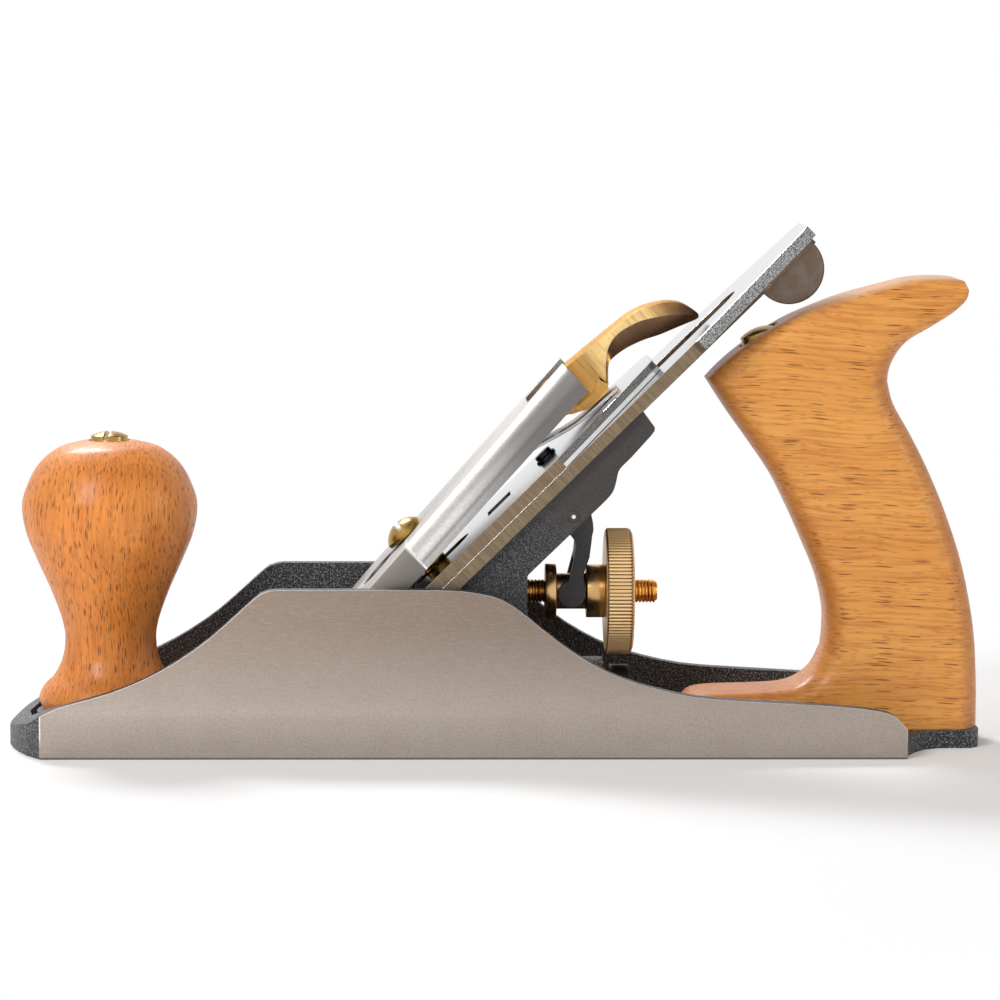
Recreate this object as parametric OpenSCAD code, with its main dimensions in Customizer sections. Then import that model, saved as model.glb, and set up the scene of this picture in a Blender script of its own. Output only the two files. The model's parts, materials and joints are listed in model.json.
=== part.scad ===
// Smoothing plane in millimetres. Toe at -X, heel at +X, near cheek at -Y, sole on z = 0.

/* [Body] */
// Length of the sole
body_len = 248; // [244:1:252]
// Thickness of a cheek
cheek_t = 4; // [3:0.25:4.25]
// Height of the cheeks beside the mouth
cheek_h = 42.6; // [40:0.2:43]
// Thickness of the sole plate
floor_t = 4.5; // [4:0.1:5]
// Height of the frog seat above the sole
seat_h = 11; // [10.5:0.1:11.4]
// Half width of the tongue at the heel
tongue_w = 14; // [13:0.25:16]
// Diameter of the boss under the front knob
boss_d = 38; // [36.5:0.5:40]
// Height of that boss above the sole
boss_h = 8; // [7:0.1:9]

/* [Mouth] */
// Room beside the blade in the mouth
mouth_side_gap = 1.1; // [0.9:0.05:1.5]
// Distance of the mouth's front edge ahead of the middle of the plane
mouth_front = 58.6; // [58.2:0.1:60]

/* [Cutter] */
// Width of the blade
blade_w = 50.8; // [49.5:0.1:51.5]
// Room between the blade and a cheek
blade_side_gap = 1.6; // [1.4:0.05:2]
// Thickness of the blade
blade_t = 3.15; // [2.8:0.05:3.3]
// Distance of the blade's top end from the sole along the bed
blade_top = 185.3; // [180:0.5:188]
// Width of the slot in the blade
blade_slot_w = 11; // [10.9:0.05:11.4]
// Thickness of the cap iron
cap_iron_t = 3.15; // [2.9:0.05:3.3]
// Distance of the cap iron's top end from the sole along the bed
cap_iron_top = 133.6; // [131:0.2:136]
// Diameter of the cap iron screw
iron_screw_d = 6; // [5.5:0.1:6.5]
// Diameter of that screw's head
iron_head_d = 12; // [11.6:0.1:12.4]

/* [Lever cap] */
// Step in from the blade's side to the lever cap's side
cap_inset = 0.4; // [0.2:0.05:1]
// Rise of the lever cap's top face
lever_cap_rise = 15.95; // [15.8:0.05:16.4]
// Radius of the lever cap's rounded sides
cap_round = 7; // [5:0.25:7.5]
// Diameter of the lever cap screw's shank
cap_screw_d = 6.9; // [6.4:0.05:7]
// Diameter of that screw's head
cap_screw_head_d = 10.5; // [10:0.1:10.7]
// Height of that screw's head
cap_screw_head_h = 3.9; // [3.4:0.1:4.3]
// Diameter of the cam pin
cam_pin_d = 3.6; // [3:0.1:4]
// Width of the cam between the lever cap's ears
cam_w = 15.4; // [14.6:0.1:16]
// Thickness of the leaf spring
spring_t = 0.8; // [0.6:0.05:0.9]
// Width of the leaf spring
spring_w = 13; // [11:0.5:15]

/* [Frog] */
// Step in from the blade's side to the frog's side
frog_inset = 2.4; // [2:0.1:3]
// Thickness of the frog's bed
frog_bed_t = 7; // [6.5:0.1:7.2]
// Thickness of a side rib of the frog
frog_rib_t = 6; // [5:0.1:6.2]
// Diameter of the frog fixing screws
fix_screw_d = 4.8; // [4.4:0.1:5.2]
// Distance of a fixing screw from the middle
fix_screw_y = 13; // [12.6:0.1:13.2]
// Diameter of the washers
washer_d = 12; // [11.4:0.1:12.2]
// Thickness of the washers
washer_t = 1.2; // [0.9:0.05:1.4]
// Diameter of the frog adjusting screw
frog_adj_d = 6; // [5.6:0.1:6.4]
// Height of the frog adjusting screw above the sole
frog_adj_z = 14.6; // [14.4:0.1:15]

/* [Depth adjuster] */
// Diameter of the adjuster stud
stud_d = 6.1; // [5.8:0.05:6.4]
// Height of the adjuster stud above the sole
stud_z = 38.6; // [38.2:0.1:39]
// Diameter of the knurled wheel
wheel_d = 32.4; // [30:0.2:33.4]
// Thickness of the knurled wheel
wheel_t = 7; // [6.6:0.05:7.5]
// Diameter of the spool's flange
spool_flange_d = 14; // [13:0.1:14.6]
// Diameter of the spool's groove
spool_core_d = 9.2; // [8.8:0.05:9.4]
// Diameter of the yoke's round pads
yoke_pad_d = 6.8; // [6.3:0.05:6.9]
// Diameter of the yoke pin
yoke_pin_d = 3; // [2.6:0.1:3.2]

/* [Lateral adjuster] */
// Thickness of the lateral lever
lateral_t = 2; // [1.6:0.05:2.1]
// Width of the lateral lever
lateral_w = 9; // [8:0.1:9.4]
// Radius of the thumb disc
thumb_r = 9; // [8.6:0.1:9.4]
// Diameter of the roller in the blade's slot
roller_d = 10.7; // [10.4:0.05:10.8]

/* [Knob] */
// Radius of the knob at its widest
knob_r = 22.3; // [21:0.1:22.8]
// Radius of the knob at its waist
knob_waist_r = 11.75; // [11:0.05:12.5]
// Height of the knob's top above the sole
knob_top = 77.4; // [76.6:0.1:78.4]
// Diameter of the slotted nuts
nut_d = 9.8; // [9.2:0.1:10.2]
// Diameter of the studs in the wood
wood_stud_d = 5.6; // [5.2:0.1:6]

/* [Tote] */
// Thickness of the tote
tote_t = 24; // [22:0.5:26]
// Radius of the tote's rounded edges
tote_round = 8.5; // [6:0.25:9.5]

/* [Hidden] */
$fn = 48;
fit = 0.04;
gap = 0.05;
half_len = body_len / 2;
body_w = blade_w + 2 * blade_side_gap + 2 * cheek_t;
half_w = body_w / 2;
mouth_w = blade_w + 2 * mouth_side_gap;
lever_cap_w = blade_w - 2 * cap_inset;
frog_w = blade_w - 2 * frog_inset;
over_w = body_w + 18;
bed_angle = 44.55;
bed_x0 = -51.317;
bed_z0 = 0.42;
cap_slope = 0.074;
heel_shift = half_len - 124;
iron = "#2b2b2d";
ground = "#a79c92";
steel = "#c9c9c9";
brass = "#c79a4b";
wood = "#d98f4e";
knob_x = 25.75 - half_len;
seat_top = seat_h;
foot_top = seat_h + 5;
frog_nose_z = 5.4;
frog_wall_x = 8;
fix_x = -22;
frog_travel = 1;
blade_lo = gap;
blade_hi = blade_lo + blade_t;
iron_hi = blade_hi + cap_iron_t;
edge_u = -(bed_z0 + blade_hi * cos(bed_angle)) / sin(bed_angle);
cap_lo = iron_hi + gap;
lcs_u = 57.5;
pin_u = 110;
pin_w = 15.5;
cap_end_u = 117;
rivet_u = 91;
cap_fall = atan(0.056);
iron_screw_u = 97;
yoke_u = 92.4;
yoke_w = -7.1;
tip_u = 80;
tip_w = 4.7;
pivot_u = 118;
roller_u = 110;
lat_hi = -0.2;
lat_lo = lat_hi - lateral_t;
seat_cap = lever_cap_rise + cap_slope * (lcs_u + cap_screw_head_d / 2 - 43);
flange_x0 = 13.1;
core_x0 = 15.95;
core_x1 = 23.65;
wheel_x0 = 28.5;
wheel_x1 = wheel_x0 + wheel_t;
stud_x1 = 41.95;
pad_x = (core_x0 + core_x1) / 2;
tote_bolt = [67.8 + heel_shift, 103.5];
tote_seat = -0.8;
tote_tilt = 20.4;
tote_bolt_len = 108.6;

// Point on a smooth curve between b and c
function mid_curve(a, b, c, d, t) =
    0.5 * (2 * b + (c - a) * t + (2 * a - 5 * b + 4 * c - d) * t * t + (3 * b - a - 3 * c + d) * t * t * t);

// Smooth curve through hand-chosen points
function curve(p, n) = concat(
    [for (i = [0 : len(p) - 2]) for (k = [0 : n - 1])
        mid_curve(p[max(i - 1, 0)], p[i], p[i + 1], p[min(i + 2, len(p) - 1)], k / n)],
    [p[len(p) - 1]]);

// World position of a point on the bed line
function bed_x(u, w) = bed_x0 + u * cos(bed_angle) - w * sin(bed_angle);
function bed_z(u, w) = bed_z0 + u * sin(bed_angle) + w * cos(bed_angle);

// Frame with x up the bed, y across and z out of the bed
module on_bed() {
    translate([bed_x0, 0, bed_z0]) rotate([0, -bed_angle, 0]) children();
}

// Side profile drawn in x and z, given a width across the plane
module across(width) {
    translate([0, width / 2, 0]) rotate([90, 0, 0]) linear_extrude(width) children();
}

// Axis along the plane, local z pointing to the heel
module along(x, z) {
    translate([x, 0, z]) rotate([0, 90, 0]) children();
}

// Axis of the tote's stud, local z pointing up
module on_tote_bolt() {
    translate([tote_bolt[0], 0, tote_bolt[1]]) rotate([0, -tote_tilt, 0]) children();
}

// Straight slot with round ends along x
module slot(x0, x1, d, h) {
    translate([x0, 0, 0]) cylinder(d = d, h = h);
    translate([x1, 0, 0]) cylinder(d = d, h = h);
    translate([x0, -d / 2, 0]) cube([x1 - x0, d, h]);
}

// Shell through equal rings of points
module skin(rings) {
    m = len(rings[0]);
    n = len(rings);
    points = [for (r = rings) for (p = r) p];
    lower = [for (i = [0 : n - 2]) for (j = [0 : m - 1])
        [i * m + j, (i + 1) * m + j, (i + 1) * m + (j + 1) % m]];
    upper = [for (i = [0 : n - 2]) for (j = [0 : m - 1])
        [i * m + j, (i + 1) * m + (j + 1) % m, i * m + (j + 1) % m]];
    ends = [[for (j = [0 : m - 1]) j], [for (j = [m - 1 : -1 : 0]) (n - 1) * m + j]];
    polyhedron(points, concat(ends, lower, upper));
}

// Half outline of the casting seen from above
half_plan = [[-half_len, 0], [-half_len + 0.4, 6], [-half_len + 1.6, 12], [-half_len + 3.6, half_w - 12.5],
    [-half_len + 6.4, half_w - 6], [-half_len + 10.4, half_w], [half_len - 20.8, half_w],
    [half_len - 20, half_w - 5], [half_len - 17.5, half_w - 10.5], [half_len - 14.5, tongue_w + 2.2],
    [half_len - 10.5, tongue_w], [half_len - 2.6, tongue_w], [half_len - 0.7, tongue_w - 2],
    [half_len, tongue_w - 5], [half_len, 0]];

// Inside of the walls seen from above
half_pocket = [[-half_len + 5, 0], [-half_len + 6.5, 11], [-half_len + 10, 20],
    [-half_len + 15, half_w - cheek_t], [half_len, half_w - cheek_t], [half_len, 0]];

// Crest of the cheeks from toe to heel, stretched with the body outside the high middle
function toe(x) = -54.8 + (x + 54.8) * (half_len - 65.2) / 58.8;
function heel(x) = -14 + (x + 14) * (half_len - 6.8) / 117.2;
crest = curve([for (p = [[-113.6, 10.9], [-109.6, 12.8], [-103.6, 14.6], [-95.7, 16.9], [-87.7, 20.2],
    [-79.7, 24.6], [-71.7, 30.2], [-63.8, 37.2], [-58.6, cheek_h - 0.9], [-54.8, cheek_h]]) [toe(p[0]), p[1]]], 2);
crest_heel = curve([for (p = [[-14, cheek_h], [-8, cheek_h - 0.3], [-4.1, cheek_h - 0.9], [-0.1, 40.8], [3.9, 38.8],
    [7.9, 35.8], [15.9, 29.3], [23.9, 24.1], [31.9, 20.3], [40, 17.8], [50, 15.7], [62, 14.7],
    [86, 13.3], [96.1, 12.1], [100.1, 10.7], [103.2, 7.4]]) [heel(p[0]), p[1]]], 2);

module both_sides(p) {
    polygon(concat(p, [for (i = [len(p) - 2 : -1 : 1]) [p[i][0], -p[i][1]]]));
}

module wall_profile() {
    polygon(concat([[-half_len - 1, 0], [-half_len - 1, 4.8], [-half_len, 4.8], [-half_len + 3.1, 6.8],
        [-half_len + 6.7, 8.3]], crest, crest_heel, [[half_len - 20.8, 0]]));
}

module body_casting() {
    color(iron) difference() {
        union() {
            linear_extrude(floor_t) both_sides(half_plan);
            intersection() {
                linear_extrude(60) difference() {
                    both_sides(half_plan);
                    both_sides(half_pocket);
                }
                across(body_w + 2) wall_profile();
            }
            // Boss under the knob
            translate([knob_x, 0, 1]) cylinder(d = boss_d, h = boss_h - 1);
            // Seat of the frog
            translate([-35.5, 1 - frog_w / 2, 1]) cube([47.5, frog_w - 2, seat_top - 1]);
            // Boss of the frog adjusting screw
            translate([20, -7, 1]) cube([8, 14, frog_adj_z - 1]);
            along(20, frog_adj_z) cylinder(d = 14, h = 8);
        }
        // Mouth
        across(mouth_w) polygon([[-mouth_front, -1], [-mouth_front, 0], [-mouth_front - 3.2, 6.5],
            [-42.1, 6.5], [-48.6, 0], [-49.6, -1]]);
        // Threaded holes
        translate([knob_x, 0, 1.5]) cylinder(d = wood_stud_d + 2 * fit, h = 20);
        on_tote_bolt() translate([0, 0, -tote_bolt_len]) cylinder(d = wood_stud_d + 2 * fit, h = 20);
        for (s = [-1, 1])
            translate([fix_x, s * fix_screw_y, 2]) cylinder(d = fix_screw_d + 2 * fit, h = 20);
        along(19, frog_adj_z) cylinder(d = frog_adj_d + 2 * fit, h = 10);
    }
}

// Half profile of the front knob as radius and height
knob_profile = curve([[17.1, boss_h], [18.1, boss_h + 2.2], [18.3, boss_h + 3.8], [16.9, 14.6], [14.3, 17.3],
    [12.4 * knob_waist_r / 11.75, 21.3], [knob_waist_r, 24.8], [knob_waist_r, 28.5],
    [12.9 * knob_waist_r / 11.75, 33.2], [15.4, 39.8], [18.6, 47], [knob_r - 1.1, 53.5],
    [knob_r, 59.4], [knob_r - 0.6, 64], [18.5, 70.7], [13.5, 75.2], [8, knob_top - 0.4], [5.4, knob_top]], 3);

module front_knob() {
    color(wood) translate([knob_x, 0, 0]) rotate_extrude($fn = 96) difference() {
        polygon(concat([[wood_stud_d / 2 + 0.1, boss_h]], knob_profile,
            [[nut_d / 2 + 0.3, knob_top - 0.2], [nut_d / 2 + 0.3, knob_top - 2.2],
            [3.6, knob_top - 2.2], [3.6, knob_top - 14], [wood_stud_d / 2 + 0.1, knob_top - 14]]));
    }
}

module knob_stud() {
    color(steel) translate([knob_x, 0, 1.5]) cylinder(d = wood_stud_d, h = knob_top - 4.5);
}

// Slotted nut with a barrel, seat at z = 0 and threaded for a stud
module slotted_nut(dome) {
    difference() {
        union() {
            cylinder(d = nut_d, h = 1.6);
            translate([0, 0, 1.6]) intersection() {
                translate([0, 0, dome - nut_d]) sphere(r = nut_d, $fn = 64);
                cylinder(d = nut_d - 0.4, h = nut_d);
            }
            translate([0, 0, -11.6]) cylinder(d = 7.1, h = 11.6);
        }
        translate([0, 0, -12]) cylinder(d = wood_stud_d + 2 * fit, h = 11.4);
        translate([-nut_d, -0.75, 1.6 + dome - 1.9]) cube([2 * nut_d, 1.5, 4]);
    }
}

module knob_nut() {
    color(brass) translate([knob_x, 0, knob_top - 2.2]) rotate(82) slotted_nut(2.9);
}

// Rungs across the tote: front x, z and share of rounding, then back x, z and share
foot_rungs = [[48.2, 9.6, 0.3, 46.8, -1, 0.3], [50.6, 12.2, 0.3, 50, -1, 0.3], [55.5, 13.2, 0.32, 57, -1, 0.3],
    [66.9, 13.6, 0.35, 71, -1, 0.3], [74, 14.2, 0.42, 84, -1, 0.35], [78.4, 15.9, 0.55, 97, -1, 0.45],
    [81.9, 19.3, 0.8, 111, -1, 0.65], [84.3, 24.6, 0.95, 123.8, -1, 0.9]];
grip_rungs = [[84.3, 24.6, 0.95, 123.8, -1, 0.9], [84.7, 29.6, 1, 123.9, 6, 0.95],
    [84.5, 35, 1, 123.9, 15, 1], [82.6, 43, 1, 123, 29.5, 1], [78.9, 51.9, 1, 119.9, 45.5, 1],
    [75.3, 59.9, 1, 115.4, 59.3, 1], [70.8, 68.8, 1, 110.6, 70.6, 1], [65.4, 76.8, 1, 106.1, 79.4, 1],
    [59.1, 85.6, 1, 101.7, 87.2, 1], [54, 93.5, 0.8, 100.1, 93, 1]];
horn_rungs = [[54, 93.5, 0.8, 100.1, 93, 1], [56.5, 96.2, 0.75, 100.2, 94.6, 1], [61, 100.2, 0.7, 100.5, 96.4, 0.95],
    [67, 104.6, 0.7, 101.1, 98.2, 0.9], [75, 109.3, 0.7, 102.2, 100.3, 0.85], [84.6, 113.4, 0.7, 103.9, 102.5, 0.8],
    [90.7, 115.4, 0.65, 105.9, 104.2, 0.75], [99.9, 117.8, 0.55, 109.2, 106.2, 0.65],
    [105.5, 119.1, 0.5, 112, 108, 0.55], [111.2, 119.5, 0.38, 115.8, 110.6, 0.4],
    [116.6, 119.3, 0.28, 119, 113.8, 0.28], [118.4, 118.9, 0.14, 119.7, 116.3, 0.14]];
rungs = concat(curve(foot_rungs, 2), [for (i = [1 : 26]) curve(grip_rungs, 3)[i]], curve(horn_rungs, 2));

// Rounded section on one rung
function rung_ring(g) =
    let (l = norm([g[3] - g[0], g[4] - g[1]]), e = [(g[3] - g[0]) / l, (g[4] - g[1]) / l],
        h = tote_t / 2, ra = g[2] * tote_round, rb = g[5] * tote_round,
        back = [for (t = [-90 : 22.5 : 0]) [l - rb + rb * cos(t), rb - h + rb * sin(t)]],
        front = [for (t = [90 : 22.5 : 180]) [ra + ra * cos(t), h - ra + ra * sin(t)]],
        half = concat(back, [for (p = [4 : -1 : 0]) [back[p][0], -back[p][1]]], front,
            [for (p = [4 : -1 : 0]) [front[p][0], -front[p][1]]]))
    [for (p = half) [g[0] + heel_shift + e[0] * p[0], p[1], g[1] + e[1] * p[0]]];

module rear_tote() {
    color(wood) difference() {
        skin([for (g = rungs) rung_ring(g)]);
        translate([0, -tote_t, -20]) cube([body_len, 2 * tote_t, 20 + floor_t]);
        on_tote_bolt() {
            translate([0, 0, tote_seat]) cylinder(d = nut_d + 1.4, h = 20);
            translate([0, 0, -16]) cylinder(d = 7.2, h = 20);
            translate([0, 0, -120]) cylinder(d = wood_stud_d + 0.2, h = 120);
        }
    }
}

module tote_stud() {
    color(steel) on_tote_bolt() translate([0, 0, -tote_bolt_len])
        cylinder(d = wood_stud_d, h = tote_bolt_len + tote_seat - 0.8);
}

module tote_nut() {
    color(brass) on_tote_bolt() translate([0, 0, tote_seat]) slotted_nut(2.2);
}

module frog_fixing_screws() {
    color(steel) for (s = [-1, 1]) translate([fix_x, s * fix_screw_y, 0]) difference() {
        union() {
            translate([0, 0, 2]) cylinder(d = fix_screw_d, h = foot_top + washer_t - 2);
            translate([0, 0, foot_top + washer_t]) cylinder(d = 10, h = 3.6);
        }
        translate([-6, -0.7, foot_top + washer_t + 2.4]) cube([12, 1.4, 3]);
    }
}

module frog_washers() {
    color(steel) for (s = [-1, 1]) translate([fix_x, s * fix_screw_y, foot_top]) difference() {
        cylinder(d = washer_d, h = washer_t);
        translate([0, 0, -1]) cylinder(d = fix_screw_d + 2 * fit, h = 4);
    }
}

// Side of the frog with its rear ribs
frog_rear = curve([for (p = [[120.5, -6.05], [113.3, -6.5], [110.1, -6.5], [108.4, -6.8], [106.6, -7.95],
    [104.6, -9.15], [102.6, -9.7], [99.2, -9.8], [95, -9.75]]) [bed_x(p[0], p[1]), bed_z(p[0], p[1])]], 2);

module frog_side() {
    polygon(concat([[bed_x0 + (frog_nose_z - bed_z0) / tan(bed_angle), frog_nose_z], [bed_x(123.2, 0), bed_z(123.2, 0)],
        [bed_x(122.6, -5.2), bed_z(122.6, -5.2)], [bed_x(122, -5.8), bed_z(122, -5.8)]], frog_rear,
        [[bed_x(74.1, -9.6), bed_z(74.1, -9.6)], [frog_wall_x, 45.1], [frog_wall_x, seat_top],
        [-37.5, seat_top], [-37.5, frog_nose_z]]));
}

module frog_inside() {
    polygon([[frog_wall_x - 6, foot_top], [frog_wall_x - 6, bed_z(0, -frog_bed_t) * 2 + 58.9 - 6],
        [foot_top - 50.9 + frog_bed_t * sqrt(2), foot_top]]);
}

module frog_casting() {
    inner = frog_w / 2 - frog_rib_t;
    color(iron) difference() {
        across(frog_w) frog_side();
        // Hollows beside the centre block
        for (s = [-1, 1]) translate([0, s * (8 + inner) / 2, 0]) across(inner - 8) frog_inside();
        // Open back between the ribs
        on_bed() translate([76, -inner, -30]) cube([60, 2 * inner, 30 - frog_bed_t]);
        // Slots and counterbores of the fixing screws
        for (s = [-1, 1]) translate([fix_x, s * fix_screw_y, 0]) {
            translate([0, 0, 1]) slot(-frog_travel - 0.1, frog_travel + 0.1, fix_screw_d + 0.4, 40);
            translate([0, 0, foot_top]) slot(-frog_travel - 0.1, frog_travel + 0.1, washer_d + 0.4, 40);
        }
        on_bed() {
            // Window for the yoke and the cap iron screw
            translate([74, -8.5, -14]) cube([33, 17, 20]);
            // Channel and hole of the lateral lever
            translate([104, -7.2, lat_lo - 0.2]) cube([40, 14.4, 10]);
            translate([pivot_u, 0, -20]) cylinder(d = 5 + 2 * fit, h = 30);
            // Hole of the lever cap screw
            translate([lcs_u, 0, -9]) cylinder(d = cap_screw_d + 2 * fit, h = 20);
            // Hole of the yoke pin
            translate([yoke_u, -over_w / 2, yoke_w]) rotate([-90, 0, 0])
                cylinder(d = yoke_pin_d + 2 * fit, h = over_w);
        }
        along(0, stud_z) cylinder(d = stud_d + 2 * fit, h = 20);
        // Spot face where the spool's flange comes close
        along(frog_wall_x, stud_z) cylinder(d = spool_flange_d + 1.6, h = 20);
        along(frog_wall_x - 2.2, frog_adj_z) cylinder(d = frog_adj_d + 0.4, h = 6);
        along(frog_wall_x - 5, frog_adj_z + 8) cylinder(d = 3 + 2 * fit, h = 6);
    }
}

module frog_adjusting_clip() {
    color(steel) difference() {
        translate([frog_wall_x, -7, seat_top + 0.6]) cube([1.6, 14, 15.4]);
        translate([frog_wall_x - 1, -frog_adj_d / 2 + 1.1, 0])
            cube([4, frog_adj_d - 2.2, frog_adj_z]);
        along(frog_wall_x - 1, frog_adj_z) cylinder(d = frog_adj_d - 2.2, h = 4);
        along(frog_wall_x - 1, frog_adj_z + 8) cylinder(d = 3 + 2 * fit, h = 4);
    }
}

module frog_clip_screw() {
    color(steel) difference() {
        union() {
            along(frog_wall_x - 4.8, frog_adj_z + 8) cylinder(d = 3, h = 6.6);
            along(frog_wall_x + 1.6, frog_adj_z + 8) cylinder(d = 6, h = 2);
        }
        translate([frog_wall_x + 2.7, -4, frog_adj_z + 7.5]) cube([2, 8, 1]);
    }
}

module frog_adjusting_screw() {
    core = frog_adj_d - 2.4;
    color(steel) difference() {
        union() {
            along(frog_wall_x - 2, frog_adj_z) cylinder(d = frog_adj_d, h = 1.95);
            along(frog_wall_x - 2, frog_adj_z) cylinder(d = core, h = 5);
            along(frog_wall_x + 1.65, frog_adj_z) cylinder(d = frog_adj_d, h = 20);
            along(29.6, frog_adj_z) cylinder(d = 10, h = 5);
        }
        translate([33.2, -6, frog_adj_z - 0.7]) cube([3, 12, 1.4]);
    }
}

module lever_cap_screw() {
    color(brass) on_bed() translate([lcs_u, 0, 0]) difference() {
        union() {
            translate([0, 0, -8.4]) cylinder(d = cap_screw_d, h = 8.4 + seat_cap);
            translate([0, 0, seat_cap]) cylinder(d = cap_screw_head_d, h = 1);
            translate([0, 0, seat_cap + 1]) intersection() {
                translate([0, 0, cap_screw_head_h - 1 - 6.2]) sphere(r = 6.2, $fn = 64);
                cylinder(d = cap_screw_head_d, h = 8);
            }
        }
        translate([-0.75, -8, seat_cap + cap_screw_head_h - 1.9]) cube([1.5, 16, 4]);
    }
}

module adjuster_stud() {
    color(brass) along(0, stud_z) {
        cylinder(d = stud_d, h = stud_x1 - 0.5);
        translate([0, 0, stud_x1 - 0.5]) cylinder(d1 = stud_d, d2 = stud_d - 1, h = 0.5);
    }
}

module adjuster_spool() {
    color(brass) along(0, stud_z) difference() {
        union() {
            translate([0, 0, flange_x0]) cylinder(d = spool_flange_d, h = core_x0 - flange_x0);
            translate([0, 0, flange_x0]) cylinder(d = spool_core_d, h = wheel_x0 - flange_x0);
            translate([0, 0, core_x1]) cylinder(d = spool_flange_d - 0.4, h = wheel_x0 - core_x1);
            translate([0, 0, core_x1]) cylinder(d = 9.6, h = wheel_x1 - core_x1);
        }
        cylinder(d = stud_d + 2 * gap, h = 60);
    }
}

module adjuster_wheel() {
    color(brass) along(wheel_x0, stud_z) difference() {
        union() {
            cylinder(d1 = wheel_d - 1, d2 = wheel_d, h = 0.5, $fn = 96);
            translate([0, 0, 0.5]) cylinder(d = wheel_d, h = wheel_t - 1.7, $fn = 96);
            translate([0, 0, wheel_t - 1.2]) cylinder(d1 = wheel_d, d2 = wheel_d - 1.6, h = 1.2, $fn = 96);
        }
        translate([0, 0, -1]) cylinder(d = 9.6 + 2 * fit, h = 20);
    }
}

module yoke() {
    pin_x = bed_x(yoke_u, yoke_w);
    pin_z = bed_z(yoke_u, yoke_w);
    // Prongs that run in the spool's groove
    prong = [for (p = [[-2.6, -1], [3, -0.6], [5.1, -1], [5.55, -3.1], [5.7, -5.1], [5.35, -6.6], [5.2, -8.2],
        [4.7, -12.1], [4.1, -13.8], [3.4, -16], [3.15, -17], [3.4, -18.7], [2.9, -20.6], [-2.3, -20], [-0.55, -18.1],
        [0, -16], [1.1, -11.7], [1.3, -9.3], [0.8, -7.6], [-0.15, -6.4], [-2.6, -5.4]]) [pin_x + p[0], pin_z + p[1]]];
    color(iron) difference() {
        union() {
            for (s = [-1, 1]) translate([0, s * (spool_core_d / 2 + 0.2 + 1.3), 0]) {
                across(2.6) polygon(prong);
                translate([pad_x, 1.3, stud_z]) rotate([90, 0, 0]) cylinder(d = yoke_pad_d, h = 2.6);
            }
            intersection() {
                across(15) polygon(prong);
                translate([0, -8, stud_z + 8.6]) cube([60, 16, 40]);
            }
            on_bed() {
                translate([yoke_u, 7.5, yoke_w]) rotate([90, 0, 0]) cylinder(d = 6.2, h = 15);
                // Crank under the cap iron screw, up to the tip in the cap iron
                translate([0, 3, 0]) rotate([90, 0, 0]) linear_extrude(6) polygon([[yoke_u, yoke_w - 3.1],
                    [yoke_u, yoke_w + 3.1], [yoke_u - 7.6, yoke_w + 3.1], [tip_u + 2.9, 0.5],
                    [tip_u + 2.9, tip_w], [tip_u - 2.9, tip_w], [tip_u - 2.9, -3], [yoke_u - 11.5, yoke_w - 3.1]]);
                translate([tip_u, 3, tip_w]) rotate([90, 0, 0]) cylinder(d = 6.5, h = 6);
            }
        }
        on_bed() translate([yoke_u, -over_w / 2, yoke_w]) rotate([-90, 0, 0])
            cylinder(d = yoke_pin_d + 2 * fit, h = over_w);
        // Flat end of the tip, just under the cap iron's face
        on_bed() translate([tip_u - 6, -6, tip_w + 1.5]) cube([12, 12, 6]);
    }
}

module yoke_pin() {
    color(steel) on_bed() translate([yoke_u, -frog_w / 2, yoke_w]) rotate([-90, 0, 0])
        cylinder(d = yoke_pin_d, h = frog_w);
}

module lateral_lever() {
    color(steel) on_bed() difference() {
        union() {
            translate([0, 0, lat_lo]) slot(roller_u, 166, lateral_w, lateral_t);
            translate([166, -2.6, lat_lo]) cube([18.4, 5.2, lateral_t]);
            translate([roller_u, 0, lat_lo]) cylinder(d = 4, h = blade_lo + 2.4 - lat_lo);
            translate([roller_u, 0, lat_lo]) cylinder(d = 6.4, h = blade_lo + 0.05 - lat_lo);
            // Thumb disc turned down under the blade
            intersection() {
                translate([174.9, 1.1, -2.4]) rotate([90, 0, 0]) cylinder(r = thumb_r, h = 2.2);
                translate([150, -5, -20]) cube([50, 10, 20 + lat_hi]);
            }
        }
        translate([pivot_u, 0, -10]) cylinder(d = 5 + 2 * fit, h = 20);
        translate([pivot_u, 0, lat_hi - 1]) cylinder(d1 = 5 + 2 * fit, d2 = 7 + 2 * fit, h = 1.001);
    }
}

module lateral_rivet() {
    color(steel) on_bed() translate([pivot_u, 0, 0]) {
        translate([0, 0, -6]) cylinder(d = 5, h = 6 + lat_hi);
        translate([0, 0, lat_hi - 1]) cylinder(d1 = 5, d2 = 7, h = 1);
    }
}

module lateral_roller() {
    color(steel) on_bed() translate([roller_u, 0, blade_lo + 0.05 + gap]) difference() {
        cylinder(d = roller_d, h = 2.7);
        translate([0, 0, -1]) cylinder(d = 4.5, h = 6);
    }
}

// Half outline of the blade seen square to its face
function blade_half(u0) = [[u0, 0], [u0, blade_w / 2], [145, blade_w / 2], [blade_top - 2, blade_w / 2 - 12.2],
    [blade_top, blade_w / 2 - 13.8], [blade_top, 0]];

module blade() {
    color(steel) on_bed() difference() {
        intersection() {
            translate([0, 0, blade_lo]) linear_extrude(blade_t) both_sides(blade_half(edge_u));
            // Ground bevel under the cutting edge
            across(over_w) polygon([[edge_u, blade_hi], [edge_u + blade_t * sqrt(3), blade_lo],
                [blade_top + 9, blade_lo - 1], [blade_top + 9, blade_hi + 1], [edge_u, blade_hi + 1]]);
        }
        slot(28 + blade_slot_w / 2, 161 - blade_slot_w / 2, blade_slot_w, 9);
        translate([38, 0, -1]) cylinder(d = 15, h = 9);
    }
}

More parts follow.
